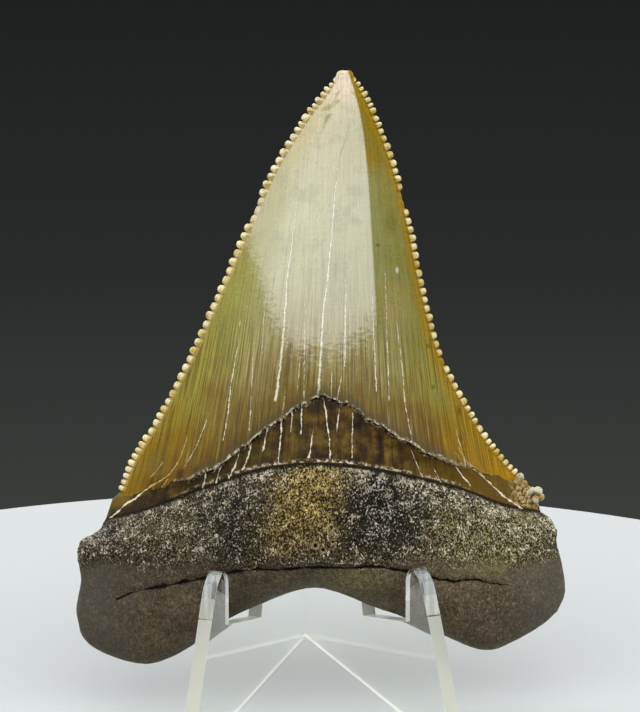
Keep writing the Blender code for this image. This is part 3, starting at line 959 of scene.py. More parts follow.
# %% The speckle group
speckle_group, (place, size, cover, softness), end = new_group(
    "speckles", {"Place": None, "Size": 0.4, "Cover": 0.5, "Softness": 0.06}, ["Mask", "Grain"])
scaled = node(speckle_group, "VectorMath", place, Scale=1.0 / size, settings={"operation": "SCALE"})
grain = noise(scaled, 1.0, 2.5, 0.62)
level = cover.fade(0.0, 1.0, 0.72, 0.28)
feed(end.inputs["Mask"], grain.fade(level - softness, level + softness))
feed(end.inputs["Grain"], grain)


def speckles(place, size, cover, softness):
    """Gives the mask of the grains and the noise that it is cut from."""
    return use_group(speckle_group, place, Size=size, Cover=cover, Softness=softness)


# %% [markdown]
# ## Patches
#
# Stains have no outline: they fade into each other. A patch is a soft oval with a torn edge,
# placed by a pixel of the photograph and sized in millimetres.

# %% The patch group
patch_group, (place, centre, stretch, tear), end = new_group(
    "patch", {"Place": None, "Centre": None, "Stretch": None, "Tear": 0.0}, ["Mask"])
offset = vector("SUBTRACT", place, centre)
radius = vector("LENGTH", vector("MULTIPLY", offset, stretch), output=1)
feed(end.inputs["Mask"], (radius + tear).fade(0.3, 1.25, 1.0, 0.0))


def patch(place, pixel, width, height, tear, depth):
    """A soft oval at a pixel of the photograph, width by height millimetres to its edge."""
    return use_group(patch_group, place, Centre=(*on_tooth(pixel, depth), 0.0),
                     Stretch=(1 / width, 1 / height, 0.0), Tear=tear)[0]


# %% [markdown]
# ## Enamel
#
# Enamel is glass-hard and slightly see-through. In the middle of the crown it is ivory with a
# green cast, towards the cutting edges olive and then amber, where it is thin, and at the base
# brown where the root's stain has crept in. The colour is built in that order: a ramp from base
# to tip for the middle, another for the sides, then streaks, patches, specks, cracks and the
# cream beads. Its gloss is a hard clear coat over a softer sheen.

# %% Enamel colours, spots and cracks
CROWN_UP = (16.0, 60.0)        # the ramps run between these heights
MIDDLE_COLOURS = [(0.00, 92, 66, 20), (0.12, 114, 90, 34), (0.24, 136, 116, 56), (0.36, 170, 158, 102),
                  (0.50, 180, 178, 128), (0.68, 192, 190, 144), (0.85, 190, 182, 134),
                  (1.00, 208, 190, 146)]
SIDE_COLOURS = [(0.00, 132, 100, 8), (0.14, 138, 112, 12), (0.30, 160, 152, 66), (0.50, 158, 156, 80),
                (0.70, 166, 162, 92), (0.88, 192, 176, 104), (1.00, 222, 204, 156)]
SPOTS = [((461, 412), 0.3, 0.6, (134, 84, 10)), ((461, 438), 0.3, 0.5, (128, 82, 14)),
         ((434, 387), 0.3, 0.3, (104, 104, 20)), ((430, 346), 0.3, 0.3, (112, 106, 24)),
         ((378, 245), 0.3, 0.25, (118, 108, 34)), ((392, 222), 0.9, 1.6, (128, 120, 44)),
         ((398, 270), 0.2, 0.4, (226, 226, 206)), ((396, 318), 2.0, 4.5, (164, 152, 88)),
         ((118, 496), 0.8, 0.9, (104, 90, 22))]
WIDE_CRACKS = [
    ((275, 400), (287, 283), 0.15, 0.09, 0.15), ((287, 283), (299, 198), 0.09, 0.04, 0.0),
    ((317.6, 392), (322.7, 315), 0.17, 0.10, 0.0), ((322.7, 315), (335, 200), 0.10, 0.09, 0.1),
    ((335, 200), (339, 166), 0.08, 0.05, 0.0), ((318, 389), (317, 395), 0.28, 0.10, 0.0),
    ((344, 366), (346, 290), 0.08, 0.06, 0.0), ((376, 391), (374, 330), 0.08, 0.05, 0.0)]
FINE_CRACKS = [
    ((374, 332), (373, 296), 0.04, 0.03, 0.0), ((389, 399), (387, 271), 0.06, 0.035, 0.0),
    ((405, 402), (398, 321), 0.06, 0.03, 0.1), ((412, 441), (405, 402), 0.05, 0.05, 0.0),
    ((303, 399), (305, 302), 0.06, 0.03, 0.0), ((262, 353), (265, 308), 0.04, 0.03, 0.0),
    ((223, 440), (231, 385), 0.05, 0.06, 0.1), ((231, 385), (241, 320), 0.06, 0.035, 0.1),
    ((249, 430), (254, 350), 0.05, 0.03, 0.0), ((346, 290), (347, 240), 0.05, 0.03, 0.0),
    ((330, 398), (331, 372), 0.05, 0.03, 0.0), ((336, 400), (341, 376), 0.06, 0.05, 0.0),
    ((297, 390), (299, 362), 0.05, 0.03, 0.0), ((281, 420), (284, 396), 0.04, 0.04, 0.0),
    ((183, 470), (207, 420), 0.05, 0.03, 0.2), ((470, 474), (458, 428), 0.05, 0.03, 0.0)]
CORNER_CRACKS = [
    ((124, 508), (150, 487), 0.08, 0.10, 0.1), ((150, 487), (166, 477), 0.10, 0.06, 0.1),
    ((166, 477), (178, 462), 0.06, 0.05, 0.1), ((178, 462), (187, 436), 0.05, 0.03, 0.1),
    ((150, 478), (163, 462), 0.04, 0.04, 0.1), ((160, 490), (168, 479), 0.05, 0.04, 0.0),
    ((170, 486), (176, 479), 0.05, 0.04, 0.0), ((488, 479), (467, 461), 0.08, 0.06, 0.0),
    ((467, 461), (459, 447), 0.06, 0.03, 0.0), ((466, 470), (456, 452), 0.05, 0.03, 0.0)]
DARK_CRACKS = [
    ((341, 154), (351, 121), 0.05, 0.03, 0.1), ((337, 180), (341, 154), 0.05, 0.05, 0.0),
    ((372, 366), (373, 350), 0.04, 0.03, 0.0), ((311, 392), (313, 378), 0.05, 0.03, 0.0)]

# %% [markdown]
# The sheen of the crown is bounded by two lines that can be followed in the photograph: the ridge
# beside the right flank, crisp, and a worn border on the left, soft. A curve is fitted through a
# few places of each, so that the material can ask how far to one side of the line it is.

# %% Lines down the crown
RIDGE_PIXELS = [(351, 74), (355, 84), (359, 94), (361, 106), (364, 121), (365.5, 138), (367, 157),
                (368, 177), (369.5, 203), (373, 230), (375, 266), (376, 311), (376.5, 350), (377, 400)]
WORN_PIXELS = [(222, 150), (238, 205), (250, 240), (258, 270), (268, 310), (284, 350)]
MIDDLE_FRONT, TIP_FRONT, SIDE_FRONT, EDGE_FRONT = 5.5, 4.5, 4.0, 3.0      # depths of its marks
LINE_MIDDLE = 45.0             # heights are measured from here, to keep the powers small


def line_across(pixels, up, degree):
    """How far across a line of the photograph is, at each height: a polynomial through its places."""
    places = np.array([on_tooth(pixel, SIDE_FRONT) for pixel in pixels])
    result, *factors = np.polyfit(places[:, 1] - LINE_MIDDLE, places[:, 0], degree).tolist()
    centred = up - LINE_MIDDLE
    for factor in factors:
        result = centred * result + factor
    return result


# %% [markdown]
# The colour is laid on in coats, each through its own mask. The order matters: what comes later
# covers what came before, as stain covers enamel and mineral fills a crack. The pale fringe and
# the dark line along the enamel's broken edge come from the number that says how high a point
# lies over that edge.

# %% Enamel: ground colours
across, depth, up, side, over_enamel, bead = tooth_numbers(
    "fossil enamel", "across", "depth", "up", "side", "over_enamel", "bead")
flat_place, place = join(across, up), join(across, up, depth)
high = node(up.tree, "MapRange", up, *CROWN_UP)
clouds = noise(place, 5.0, 4.0, 0.6)
cloud_shift = clouds - 0.5
warped = high + cloud_shift * 0.22
from_middle = abs(side)
to_side = (from_middle + cloud_shift * 0.5).fade(0.40, 0.86)
colour = blend(to_side, ramp(warped, MIDDLE_COLOURS), ramp(warped, SIDE_COLOURS))

from_ridge = across - line_across(RIDGE_PIXELS, up, 4)
right_flank = from_ridge.fade(-0.12, 0.14)
colour = blend(right_flank * up.fade(24.0, 34.0) * 0.75, colour,
               blend(clouds.fade(0.4, 0.62), (140, 130, 44), (136, 138, 74)))
amber = (up + cloud_shift * 7.0).fade(48.0, 52.5) * right_flank
colour = blend(amber * 0.95, colour, (150, 122, 0))
thin_edge = (from_middle + cloud_shift * 0.16).fade(0.88, 1.02)
amber_side = most(side.fade(0.0, 0.3), up.fade(48.0, 22.0, 0.1, 0.6))
colour = blend(thin_edge * amber_side * 0.8, colour, (168, 134, 12))
corner = over_enamel.fade(6.0, 0.5) * from_middle.fade(0.45, 0.8)
colour = blend(corner * 0.65, colour, blend(right_flank, (142, 108, 4), (182, 138, 4)))
green = noise(place, 2.6, 3.0, 0.6)
colour = blend(green.fade(0.50, 0.70) * 0.3, colour, (120, 126, 74))
for pixel, width, height, spot in SPOTS:
    oval = patch(flat_place, pixel, width, height, cloud_shift * 1.2, EDGE_FRONT)
    colour = blend(oval * 0.85, colour, spot)
colour = blend(up.fade(55.0, 59.5) * side.fade(0.7, 0.3) * 0.7, colour, (232, 208, 172))

# %% Enamel: stains, streaks and specks
low_part = (up + cloud_shift * 10.0).fade(35.0, 20.0)
tan = streaks(flat_place, 0.8, 3.0)
stain = tan.fade(0.42, 0.6) * low_part * from_middle.fade(0.98, 0.7)
colour = blend(stain * 0.6, colour, (112, 76, 26))
fine_lines = streaks(flat_place, 0.14, 11.0).fade(0.50, 0.62)
colour = blend(fine_lines * up.fade(46.0, 26.0, 0.05, 0.6), colour, (84, 62, 22))
finest = streaks(flat_place, 0.08, 41.0)
colour = blend(finest.fade(0.48, 0.6) * up.fade(42.0, 27.0, 0.0, 0.5), colour, (76, 56, 20))
pale = streaks(flat_place, 0.22, 23.0)
colour = blend(pale.fade(0.56, 0.7) * up.fade(46.0, 28.0, 0.1, 0.5) * from_middle.fade(0.9, 0.6),
               colour, (206, 192, 132))
hairs = noise(join(across * 3.0, up), 0.5, 3.0, 0.65).fade(0.60, 0.68) * noise(place, 3.0).fade(0.45, 0.6)
colour = blend(hairs * 0.6, colour, (92, 88, 60))
specks = speckles(place, 0.3, 0.04, 0.03)[0]
colour = blend(specks * 0.6, colour, (60, 56, 38))

# %% Enamel: cracks, broken edge and beads
wander = (noise(join(across * 0.5, up * 0.8), 0.9, 6.0, 0.75) - 0.5) * 0.34
steady = noise(join(across * 0.8, up), 0.5, 5.0, 0.8)
patchy = (noise(join(across * 0.3, up), 0.9, 4.0, 0.8) - 0.5) * 1.8
cracks = most(draw_cracks(flat_place, WIDE_CRACKS, wander, steady * 0.95, MIDDLE_FRONT),
              draw_cracks(flat_place, FINE_CRACKS, wander, patchy + 0.5, MIDDLE_FRONT))
colour = blend(cracks * 0.95, colour, (240, 236, 208))
dark_cracks = draw_cracks(flat_place, DARK_CRACKS, wander, patchy * 0.6 + 0.5, TIP_FRONT)
colour = blend(dark_cracks * 0.7, colour, (96, 86, 60))

rim_grain = noise(place, 0.4, 4.0, 0.75)
stained = ((over_enamel + cloud_shift * 1.2).fade(1.5, 0.5) * across.fade(-18.6, -17.0)
           * across.fade(-9.5, -12.5))
colour = blend(stained * 0.85, colour, blend(tan.fade(0.4, 0.6), (66, 44, 10), (120, 84, 16)))
colour = blend(draw_cracks(flat_place, CORNER_CRACKS, wander, steady, SIDE_FRONT), colour,
               (196, 172, 104))
in_middle = abs(across - 0.5).fade(16.5, 11.0)
rim_dark = (over_enamel - rim_grain * 0.6).fade(1.3, 0.0) * in_middle
colour = blend(rim_dark * 0.65, colour, (84, 76, 54))
rim_pale = over_enamel.fade(0.34, 0.05) * rim_grain.fade(0.54, 0.44) * in_middle
colour = blend(rim_pale * 0.85, colour, (232, 222, 188))

bead_colour = blend(noise(place, 0.9, 3.0).fade(0.35, 0.6), (208, 174, 68), (250, 238, 180))
# The feet of the beads and the notches between them: pale on the upper left, elsewhere amber, which is
# partly the thin edge's own colour and partly painted shade.
bead_foot_amber_and_shade = blend(amber_side, (214, 196, 128), (164, 126, 14))
colour = blend(bead.fade(0.02, 0.15), colour, bead_foot_amber_and_shade)
colour = blend(bead.fade(0.4, 0.78), colour, bead_colour)

# %% Enamel: relief and gloss
skin = noise(place, 0.2, 3.0, 0.65)
leather = noise(join(across * 0.8, up * 1.5), 0.5, 3.0, 0.6)
swell = noise(place, 2.2, 2.0)
relief = skin * 0.5 + leather * 0.9 + swell * 1.2 - fine_lines * 0.25 - cracks * 0.8
torn = leather - 0.5
from_worn = across - line_across(WORN_PIXELS, up, 2) + torn * 4.0
sag = across * across * 0.09
polish = (from_worn.fade(-1.0, 1.2) * from_ridge.fade(0.12, -0.12)
          * (up + torn * 9.0 - sag).fade(29.5, 33.5))
dress("fossil enamel", Base_Color=colour, Roughness=skin.fade(0.3, 0.7, 0.30, 0.46),
      Normal=bumps(relief, 1.0, 0.1), Coat_Weight=most(polish, bead.fade(0.3, 0.7, 0.02, 0.4)),
      Specular_IOR_Level=0.08, Coat_Roughness=0.09, Coat_IOR=2.06)

# %% [markdown]
# ## Neck band
#
# Between the enamel and the root lies a dark, resin-like band. It is brown to amber, as glossy
# as varnish, and split by short pale cracks that run up and down. Its two borders are chipped
# and show grains of pale mineral. At both ends of the tooth the band thins out to nothing, and
# the enamel's amber runs down over it.

# %% Neck band: ground colours and ends
SHORT_CRACKS = [
    ((203, 489), (206, 466), 0.08, 0.09, 0.1), ((216, 486), (222, 466), 0.06, 0.06, 0.0),
    ((229, 479), (240, 448), 0.10, 0.08, 0.2), ((243, 471), (252, 444), 0.09, 0.06, 0.1),
    ((263, 452), (268, 428), 0.07, 0.08, 0.0), ((278, 463), (282, 413), 0.10, 0.08, 0.1),
    ((291, 432), (293, 411), 0.06, 0.06, 0.0), ((301, 434), (303, 386), 0.07, 0.08, 0.0),
    ((309, 458), (313, 432), 0.10, 0.05, 0.0), ((330, 458), (324, 399), 0.11, 0.06, 0.1),
    ((337, 431), (339, 409), 0.06, 0.05, 0.0), ((352, 458), (353, 413), 0.05, 0.05, 0.0),
    ((103, 526), (124, 508), 0.06, 0.09, 0.1), ((124, 508), (150, 487), 0.08, 0.10, 0.1),
    ((214, 474), (224, 455), 0.05, 0.05, 0.0), ((532, 514), (510, 499), 0.06, 0.10, 0.0),
    ((510, 499), (488, 479), 0.10, 0.08, 0.0), ((488, 479), (467, 461), 0.08, 0.05, 0.0),
    ((474, 487), (458, 468), 0.09, 0.05, 0.0), ((452, 500), (436, 470), 0.04, 0.03, 0.0),
    ((424, 478), (412, 450), 0.035, 0.03, 0.0)]
BAND_COLOURS = [(0.38, 32, 22, 5), (0.48, 64, 46, 14), (0.56, 96, 72, 20), (0.66, 126, 98, 36)]
BAND_FRONT = 7.5               # depth at which its cracks lie
BROKEN_END_COLOURS = [(0.40, 70, 50, 14), (0.5, 150, 116, 30), (0.56, 214, 202, 160), (0.64, 120, 100, 76)]

across, depth, up, over_enamel, over_rim = tooth_numbers(
    "neck band", "across", "depth", "up", "over_enamel", "over_rim")
flat_place, place = join(across, up), join(across, up, depth)
clouds = noise(place, 1.8, 4.0, 0.65)
mottle = streaks(flat_place, 0.5, 5.0) * 0.25 + clouds * 0.75
colour = ramp(mottle, BAND_COLOURS)
colour = blend(across.fade(2.0, -8.0) * 0.45, colour, (74, 64, 26))
colour = blend(across.fade(7.0, 12.0) * 0.45, colour, (122, 94, 22))
dark_lines = streaks(flat_place, 0.15, 8.0).fade(0.52, 0.64)
colour = blend(dark_lines * 0.5, colour, (26, 18, 6))
border_grain = noise(place, 0.35, 4.0, 0.75)
corner = abs(across - 0.5).fade(11.0, 16.5)
colour = blend(corner * clouds.fade(0.66, 0.4) * 0.75, colour,
               blend(across.fade(6.0, 12.0), (40, 29, 9), (110, 82, 20)))
broken_end = across.fade(19.0, 20.4) * over_rim.fade(0.1, 0.5)
colour = blend(broken_end, colour, ramp(border_grain, BROKEN_END_COLOURS))
left_end = across.fade(-18.6, -19.8) * over_enamel.fade(-1.3, -0.5)
colour = blend(left_end * 0.8, colour, (116, 92, 20))

# %% Neck band: chipped borders, cracks and relief
in_middle = 1.0 - corner
near_enamel = over_enamel.fade(-0.45, -0.05) * in_middle
over_gap = over_rim.fade(0.12, 0.22) * over_rim.fade(0.62, 0.3)
chips = most(near_enamel * 0.7, over_gap * in_middle) * border_grain.fade(0.5, 0.56)
colour = blend(chips * 0.9, colour, (226, 212, 180))
# Painted shade: a ragged dark line under the proud edge of the enamel, and a dark strip just over the
# root's rim, where the band lies sunk.
shade = most(over_enamel.fade(-0.7, -0.2) * border_grain.fade(0.56, 0.44) * in_middle,
             over_rim.fade(0.22, 0.08))
colour = blend(shade * 0.9, colour, (18, 13, 7))
wander = (noise(join(across * 0.8, up), 0.9, 4.0, 0.7) - 0.5) * 0.45
broken = noise(join(across * 0.5, up), 0.5, 3.0)
cracks = draw_cracks(flat_place, SHORT_CRACKS, wander, broken, BAND_FRONT)
colour = blend(cracks, colour, (240, 228, 200))
relief = mottle * 0.8 + (chips + cracks) * 0.5 + border_grain * 0.7
dress("neck band", Base_Color=colour, Roughness=border_grain.fade(0.3, 0.7, 0.3, 0.5),
      Normal=bumps(relief, 0.8, 0.12), Specular_IOR_Level=0.14)

# %% [markdown]
# ## Root
#
# The root is bone turned to stone. Its upper part is rough, with pale and black grains side by
# side and larger stains: golden in the middle, nearly black to the right of it, olive at both
# shoulders. The lower part is smoother and plain dark grey-brown, with one long dark crack. The
# crack is drawn by the same group as the pale ones, as a chain of short pieces.

# %% Root: ground colours and stains
across, depth, up, over_rim = tooth_numbers("fossil root", "across", "depth", "up", "over_rim")
flat_place, place = join(across, up), join(across, up, depth)
clouds = noise(place, 3.2, 5.0, 0.65)
tear = (clouds - 0.5) * 1.3


def root_stain(pixel, width, height, strength=1.0, front=ROOT_FRONT_DEPTH):
    """One larger stain of the root; front is the depth at which it lies."""
    return patch(flat_place, pixel, width, height, tear, front) * strength


rough_zone = (up + tear * 3.5).fade(8.4, 11.4)
base = blend(rough_zone, (124, 110, 84), (100, 88, 60))
base = blend(clouds.fade(0.38, 0.62), blend(0.55, base, (52, 46, 34)), base)
brown = noise(place.moved(5.0, 2.0, 50.0), 1.7, 5.0, 0.7)
base = blend(brown.fade(0.5, 0.62) * 0.6, base, (112, 94, 60))
golden = most(root_stain((314, 500), 5.0, 5.0), root_stain((292, 528), 6.0, 3.0, 0.7))
base = blend(golden * 0.8, base, (180, 152, 80))
olive = most(root_stain((490, 535), 8.0, 4.5, front=7.0), root_stain((190, 530), 9.0, 3.5, 0.3, 7.0),
             root_stain((355, 580), 4.0, 1.6, 0.5, 7.5))
base = blend(olive * 0.75, base, (172, 164, 102))
black = most(root_stain((380, 510), 5.6, 5.0), root_stain((236, 528), 3.6, 4.5, 0.8),
             root_stain((95, 528), 3.0, 2.0, 0.9, 4.0))
base = blend(black * 0.95, base, (12, 10, 7))

# %% Root: pale and dark grains
clumps = noise(place, 1.1, 3.0, 0.6) - 0.5
stretched = join(across * 1.25, up * 0.85, depth)
fine_mask, fine_grain = speckles(stretched, 0.22, 0.55, 0.04)
pale_cover = rough_zone.fade(0.0, 1.0, 0.22, 0.36) + clumps * 0.8 + over_rim.fade(-3.5, -0.5, 0.0, 0.1)
pale_mask, pale_grain = speckles(stretched.moved(31.0, 7.0, 3.0), 0.2, pale_cover, 0.04)
colour = blend(fine_mask * rough_zone.fade(0.0, 1.0, 0.4, 0.95), base, (10, 8, 4))
grain_tone = noise(stretched.moved(3.0, 51.0, 9.0), 0.45, 3.0).fade(0.36, 0.66)
pale_colour = blend(golden, blend(grain_tone, (126, 118, 88), (252, 244, 214)),
                    blend(grain_tone, (176, 146, 74), (250, 226, 156)))
pale_colour = blend(black * 0.5, pale_colour, (186, 180, 166))
colour = blend(pale_mask * rough_zone.fade(0.0, 1.0, 0.22, 0.9), colour, pale_colour)
mottles = noise(stretched, 0.55, 5.0, 0.8).fade(0.42, 0.6)
colour = blend(mottles * rough_zone.fade(0.0, 1.0, 0.6, 0.15), colour, (52, 46, 34))
threads = noise(stretched.moved(21.0, 4.0, 6.0), 0.3, 4.0, 0.8).fade(0.54, 0.64)
colour = blend(threads * rough_zone.fade(0.0, 1.0, 0.6, 0.0), colour, (152, 140, 112))
grey_end = abs(across).fade(17.0, 23.0) * rough_zone.fade(0.7, 0.2)
colour = blend(grey_end * 0.5, colour, (96, 93, 84))
rusty = noise(place.moved(3.0, 17.0, 8.0), 1.1, 4.0, 0.7).fade(0.55, 0.68)
colour = blend(rusty * 0.25, colour, (92, 64, 30))
colour = blend(across.fade(-3.0, -9.0, 0.0, 0.24), colour, (20, 17, 12))
# Painted shadow: a ragged dark line along the top of the root, just under its rim.
rim_shadow_line = over_rim + (pale_grain - 0.5) * 1.4
colour = blend(rim_shadow_line.fade(-0.30, -0.05), colour, (14, 11, 8))

# %% Root: crack, nutrient holes and relief
CRACK_WIDTH = 0.13
WIDER_LEFT_PART = (150, 240)   # between these pixels the crack gapes
WIDER_BY = 0.04


def root_crack_width(pixel):
    return CRACK_WIDTH + WIDER_BY * (WIDER_LEFT_PART[0] < pixel[0] < WIDER_LEFT_PART[1])


root_cracks = [(start, end, root_crack_width(start), root_crack_width(end), 0.0)
               for start, end in zip(ROOT_CRACK_PIXELS, ROOT_CRACK_PIXELS[1:])]
wander = (noise(flat_place, 0.9, 4.0, 0.7) - 0.5) * 0.5
broken = noise(join(across, up * 0.4), 1.8, 3.0, 0.7)
crack = draw_cracks(flat_place, root_cracks, wander, broken, ROOT_FRONT_DEPTH)
colour = blend(crack, colour, (10, 8, 6))
# Round each nutrient hole a pale ring, and inside it painted shade, dark where the hole goes in.
for hole_x, hole_z, radius in holes:
    ring = vector("DISTANCE", vector("ADD", flat_place, join(tear * 0.06, 0.0)),
                  (hole_x, hole_z, 0.0), output=1)
    colour = blend(ring.fade(radius * 1.9, radius * 1.3) * 0.7, colour, (172, 158, 116))
    colour = blend(ring.fade(radius * 1.05, radius * 0.7), colour, (18, 14, 10))
tiny, lumpy = noise(place, 0.18, 2.0, 0.6), noise(place, 1.3, 3.0, 0.6)
height = pale_grain * 0.9 + fine_grain * -0.8 + (tiny * 0.4 + lumpy * 1.4) - crack
dress("fossil root", Base_Color=colour, Roughness=pale_grain.fade(0.35, 0.65, 0.6, 0.4),
      Normal=bumps(height, 1.0, 0.2), Specular_IOR_Level=0.13)

# %% [markdown]
# ## Broken crystal
#
# The lumps at the right corner are mineral, amber in their depth and milky where they broke. One
# noise blends the two and makes the milky parts smoother. With that the tooth is finished, and
# takes the place of its plain solid.

# %% Crystal material, and the finished tooth
def object_place(name):
    return node(open_tree(name), "TexCoord", output=3)


cloudy = noise(object_place("broken crystal"), 0.8 * MM, 3.0)
dress("broken crystal", Base_Color=blend(cloudy.fade(0.4, 0.56), (160, 130, 54), (204, 202, 176)),
      Roughness=cloudy.fade(0.3, 0.7, 0.45, 0.25))

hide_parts("tooth")
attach(tooth, "root")

# %% [markdown]
# ## The stand
#
# The stand is cut from 1.4 mm clear sheet: two wings that meet along an upright edge at the back
# and open towards the viewer. Each wing has a prong in front, a ledge that carries the root and a
# tall back rest. One wing is cut from a flat blank with bisect, its corners are rounded, it is
# given its thickness, turned and mitred, and a Mirror modifier makes the other. A Bevel modifier
# then softens the cut edges, as a quick pass with a scraper does. Smooth shading would tilt the
# light over the large faces, so a Weighted Normal modifier keeps those optically flat.

# %% Sizes of the stand
SHEET = 1.4
WING_ANGLE = math.radians(19.2)
WING_LENGTH = 43.2
FRONT_RAKE = math.radians(29.0)
PRONG_TOP, PRONG_BACK, PRONG_RADIUS = 16.2, 12.3, 1.9
LEDGE_FRONT_Z, LEDGE_LENGTH = 10.2, 11.0
REST_TOP, REST_RADIUS = 38.0, 2.0
JOINED_RADIUS = 0.6
CORNER_STEPS = 8               # flat steps that round off a corner of the sheet
EDGE_SOFTENING = 0.36
CLEAR_FROM = 12.4              # the prongs' front edges are clear above this height
NEAR = 0.01

ledge_slope = math.tan(LEAN) * math.cos(WING_ANGLE)
rest_slope = math.tan(LEAN) / math.cos(WING_ANGLE)
ledge_back = (PRONG_BACK + LEDGE_LENGTH, LEDGE_FRONT_Z - LEDGE_LENGTH * ledge_slope)


# %% Cut one wing from a flat blank
def start_sheet(name):
    """A flat blank in the upright plane x = 0: y runs from the front foot to the joined edge."""
    bpy.ops.object.select_all(action="DESELECT")
    bpy.ops.mesh.primitive_plane_add(size=1.0, rotation=(0.0, math.pi / 2, 0.0))
    made = bpy.context.object
    made.name = name
    made.scale = (REST_TOP * MM, WING_LENGTH * MM, 1.0)
    made.location = (0.0, -WING_LENGTH / 2 * MM, REST_TOP / 2 * MM)
    bpy.ops.object.transform_apply(location=True, rotation=True, scale=True)
    return made


def pick(mesh, kind, wanted):
    """Select the faces or points that wanted(distance from the front foot, height) picks."""
    edited = bmesh.from_edit_mesh(mesh)
    for part in getattr(edited, kind):
        middle = part.calc_center_median() if kind == "faces" else part.co
        part.select_set(wanted(middle.y / MM + WING_LENGTH, middle.z / MM))
    edited.select_flush_mode()
    bmesh.update_edit_mesh(mesh)


def saw(mesh, wanted, point, slant):
    """Split the picked faces along a line through (distance, height); slant is (distance, height)."""
    pick(mesh, "faces", wanted)
    bpy.ops.mesh.bisect(plane_co=(0.0, (point[0] - WING_LENGTH) * MM, point[1] * MM),
                        plane_no=(0.0, -slant[1], slant[0]))


def cut_away(mesh, wanted):
    pick(mesh, "faces", wanted)
    bpy.ops.mesh.delete(type="FACE")


stand = start_sheet("acrylic_stand")
edit_mode("FACE")
saw(stand.data, lambda d, z: True, (PRONG_BACK, 0.0), (0.0, -1.0))
saw(stand.data, lambda d, z: d > PRONG_BACK, (PRONG_BACK, LEDGE_FRONT_Z), (1.0, -ledge_slope))
saw(stand.data, lambda d, z: d > PRONG_BACK and z > LEDGE_FRONT_Z, ledge_back, (rest_slope, 1.0))
cut_away(stand.data, lambda d, z: PRONG_BACK < d < ledge_back[0] + rest_slope * (z - ledge_back[1])
         and z > LEDGE_FRONT_Z)
saw(stand.data, lambda d, z: d < PRONG_BACK, (0.0, PRONG_TOP), (1.0, 0.0))
cut_away(stand.data, lambda d, z: d < PRONG_BACK and z > PRONG_TOP)
saw(stand.data, lambda d, z: d < PRONG_BACK, (0.0, 0.0), (math.sin(FRONT_RAKE), math.cos(FRONT_RAKE)))
cut_away(stand.data, lambda d, z: d < z * math.tan(FRONT_RAKE))
object_mode()
print("wing blank:", len(stand.data.polygons), "faces")


# %% Round its corners and give it thickness
def on_prong_top(distance, height):
    return height > PRONG_TOP - NEAR and distance < PRONG_BACK + NEAR


def on_rest_top(distance, height):
    return height > REST_TOP - NEAR and distance < WING_LENGTH - NEAR


edit_mode("FACE")
bpy.ops.mesh.select_all(action="SELECT")
bpy.ops.mesh.dissolve_limited(angle_limit=math.radians(1.0))
bpy.ops.mesh.select_mode(type="VERT")
for wanted, radius in ((on_prong_top, PRONG_RADIUS), (on_rest_top, REST_RADIUS)):
    bpy.ops.mesh.select_all(action="DESELECT")
    pick(stand.data, "verts", wanted)
    bpy.ops.mesh.bevel(offset=radius * MM, offset_type="OFFSET", segments=CORNER_STEPS,
                       affect="VERTICES")
bpy.ops.mesh.select_mode(type="FACE")
bpy.ops.mesh.select_all(action="SELECT")
bpy.ops.mesh.extrude_region_move(TRANSFORM_OT_translate={"value": (-SHEET * MM, 0.0, 0.0)})
bpy.ops.mesh.select_all(action="SELECT")
bpy.ops.mesh.normals_make_consistent(inside=False)
bpy.ops.mesh.bisect(plane_co=(0.0, 0.0, CLEAR_FROM * MM), plane_no=(0.0, 0.0, 1.0))
object_mode()


# %% Turn it, mitre it and mirror it
def joined_edge(mesh):
    """Select the upright outer edge where the wings meet."""
    edited = bmesh.from_edit_mesh(mesh)
    for edge in edited.edges:
        ends = [vert.co for vert in edge.verts]
        edge.select_set(all(abs(p.x) < NEAR * MM and p.y > -NEAR * MM for p in ends))
    bmesh.update_edit_mesh(mesh)


stand.rotation_euler.z = WING_ANGLE
bpy.ops.object.transform_apply(location=False, rotation=True, scale=False)
edit_mode("FACE")
bpy.ops.mesh.select_all(action="SELECT")
bpy.ops.mesh.bisect(plane_co=(0.0, 0.0, 0.0), plane_no=(-1.0, 0.0, 0.0), clear_outer=True)
object_mode()
modify(stand, "MIRROR", merge_threshold=NEAR * MM)
edit_mode("EDGE")
bpy.ops.mesh.select_all(action="DESELECT")
joined_edge(stand.data)
bpy.ops.mesh.bevel(offset=JOINED_RADIUS * MM, segments=6)
bpy.ops.mesh.select_all(action="SELECT")
bpy.ops.mesh.normals_make_consistent(inside=False)
object_mode()
stand.location = ((stand_low.x + stand_high.x) / 2, stand_high.y, 0.0)
bpy.ops.object.transform_apply(location=True, rotation=False, scale=False)

# %% Soften its edges
FACES, CLEAR_EDGES, SOFT_EDGES, CLOUDY_EDGES = range(4)      # its material slots
for name in ("polished acrylic", "sawn acrylic edge", "frosted acrylic corner", "cloudy acrylic edge"):
    stand.data.materials.append(bpy.data.materials.new(name))
modify(stand, "BEVEL", width=EDGE_SOFTENING * MM, segments=4, limit_method="ANGLE",
       angle_limit=math.radians(35), material=SOFT_EDGES)
bpy.ops.object.shade_smooth_by_angle(angle=math.radians(30))
modify(stand, "WEIGHTED_NORMAL", weight=90, keep_sharp=True)
print("stand:", len(stand.data.polygons), "faces")

# %% [markdown]
# ## Clear acrylic
#
# Acrylic bends light a little less than glass does, and a thick piece of it is faintly olive. It
# has four finishes here. The faces of the sheet are polished as they come from the factory. The
# cut edges are cloudy from the saw, apart from the upper part of the prongs, where they are
# nearly clear and show the saw's fine lines. The softened edges are frosted by the scraper. A
# face whose normal isn't the sheet's own is a cut edge.

# %% Acrylic materials
ACRYLIC_IOR = 1.49
SHADOW_TINT = (0.9, 0.91, 0.89, 1.0)
OLIVE_CAST = (0.965, 0.975, 0.955, 1.0)


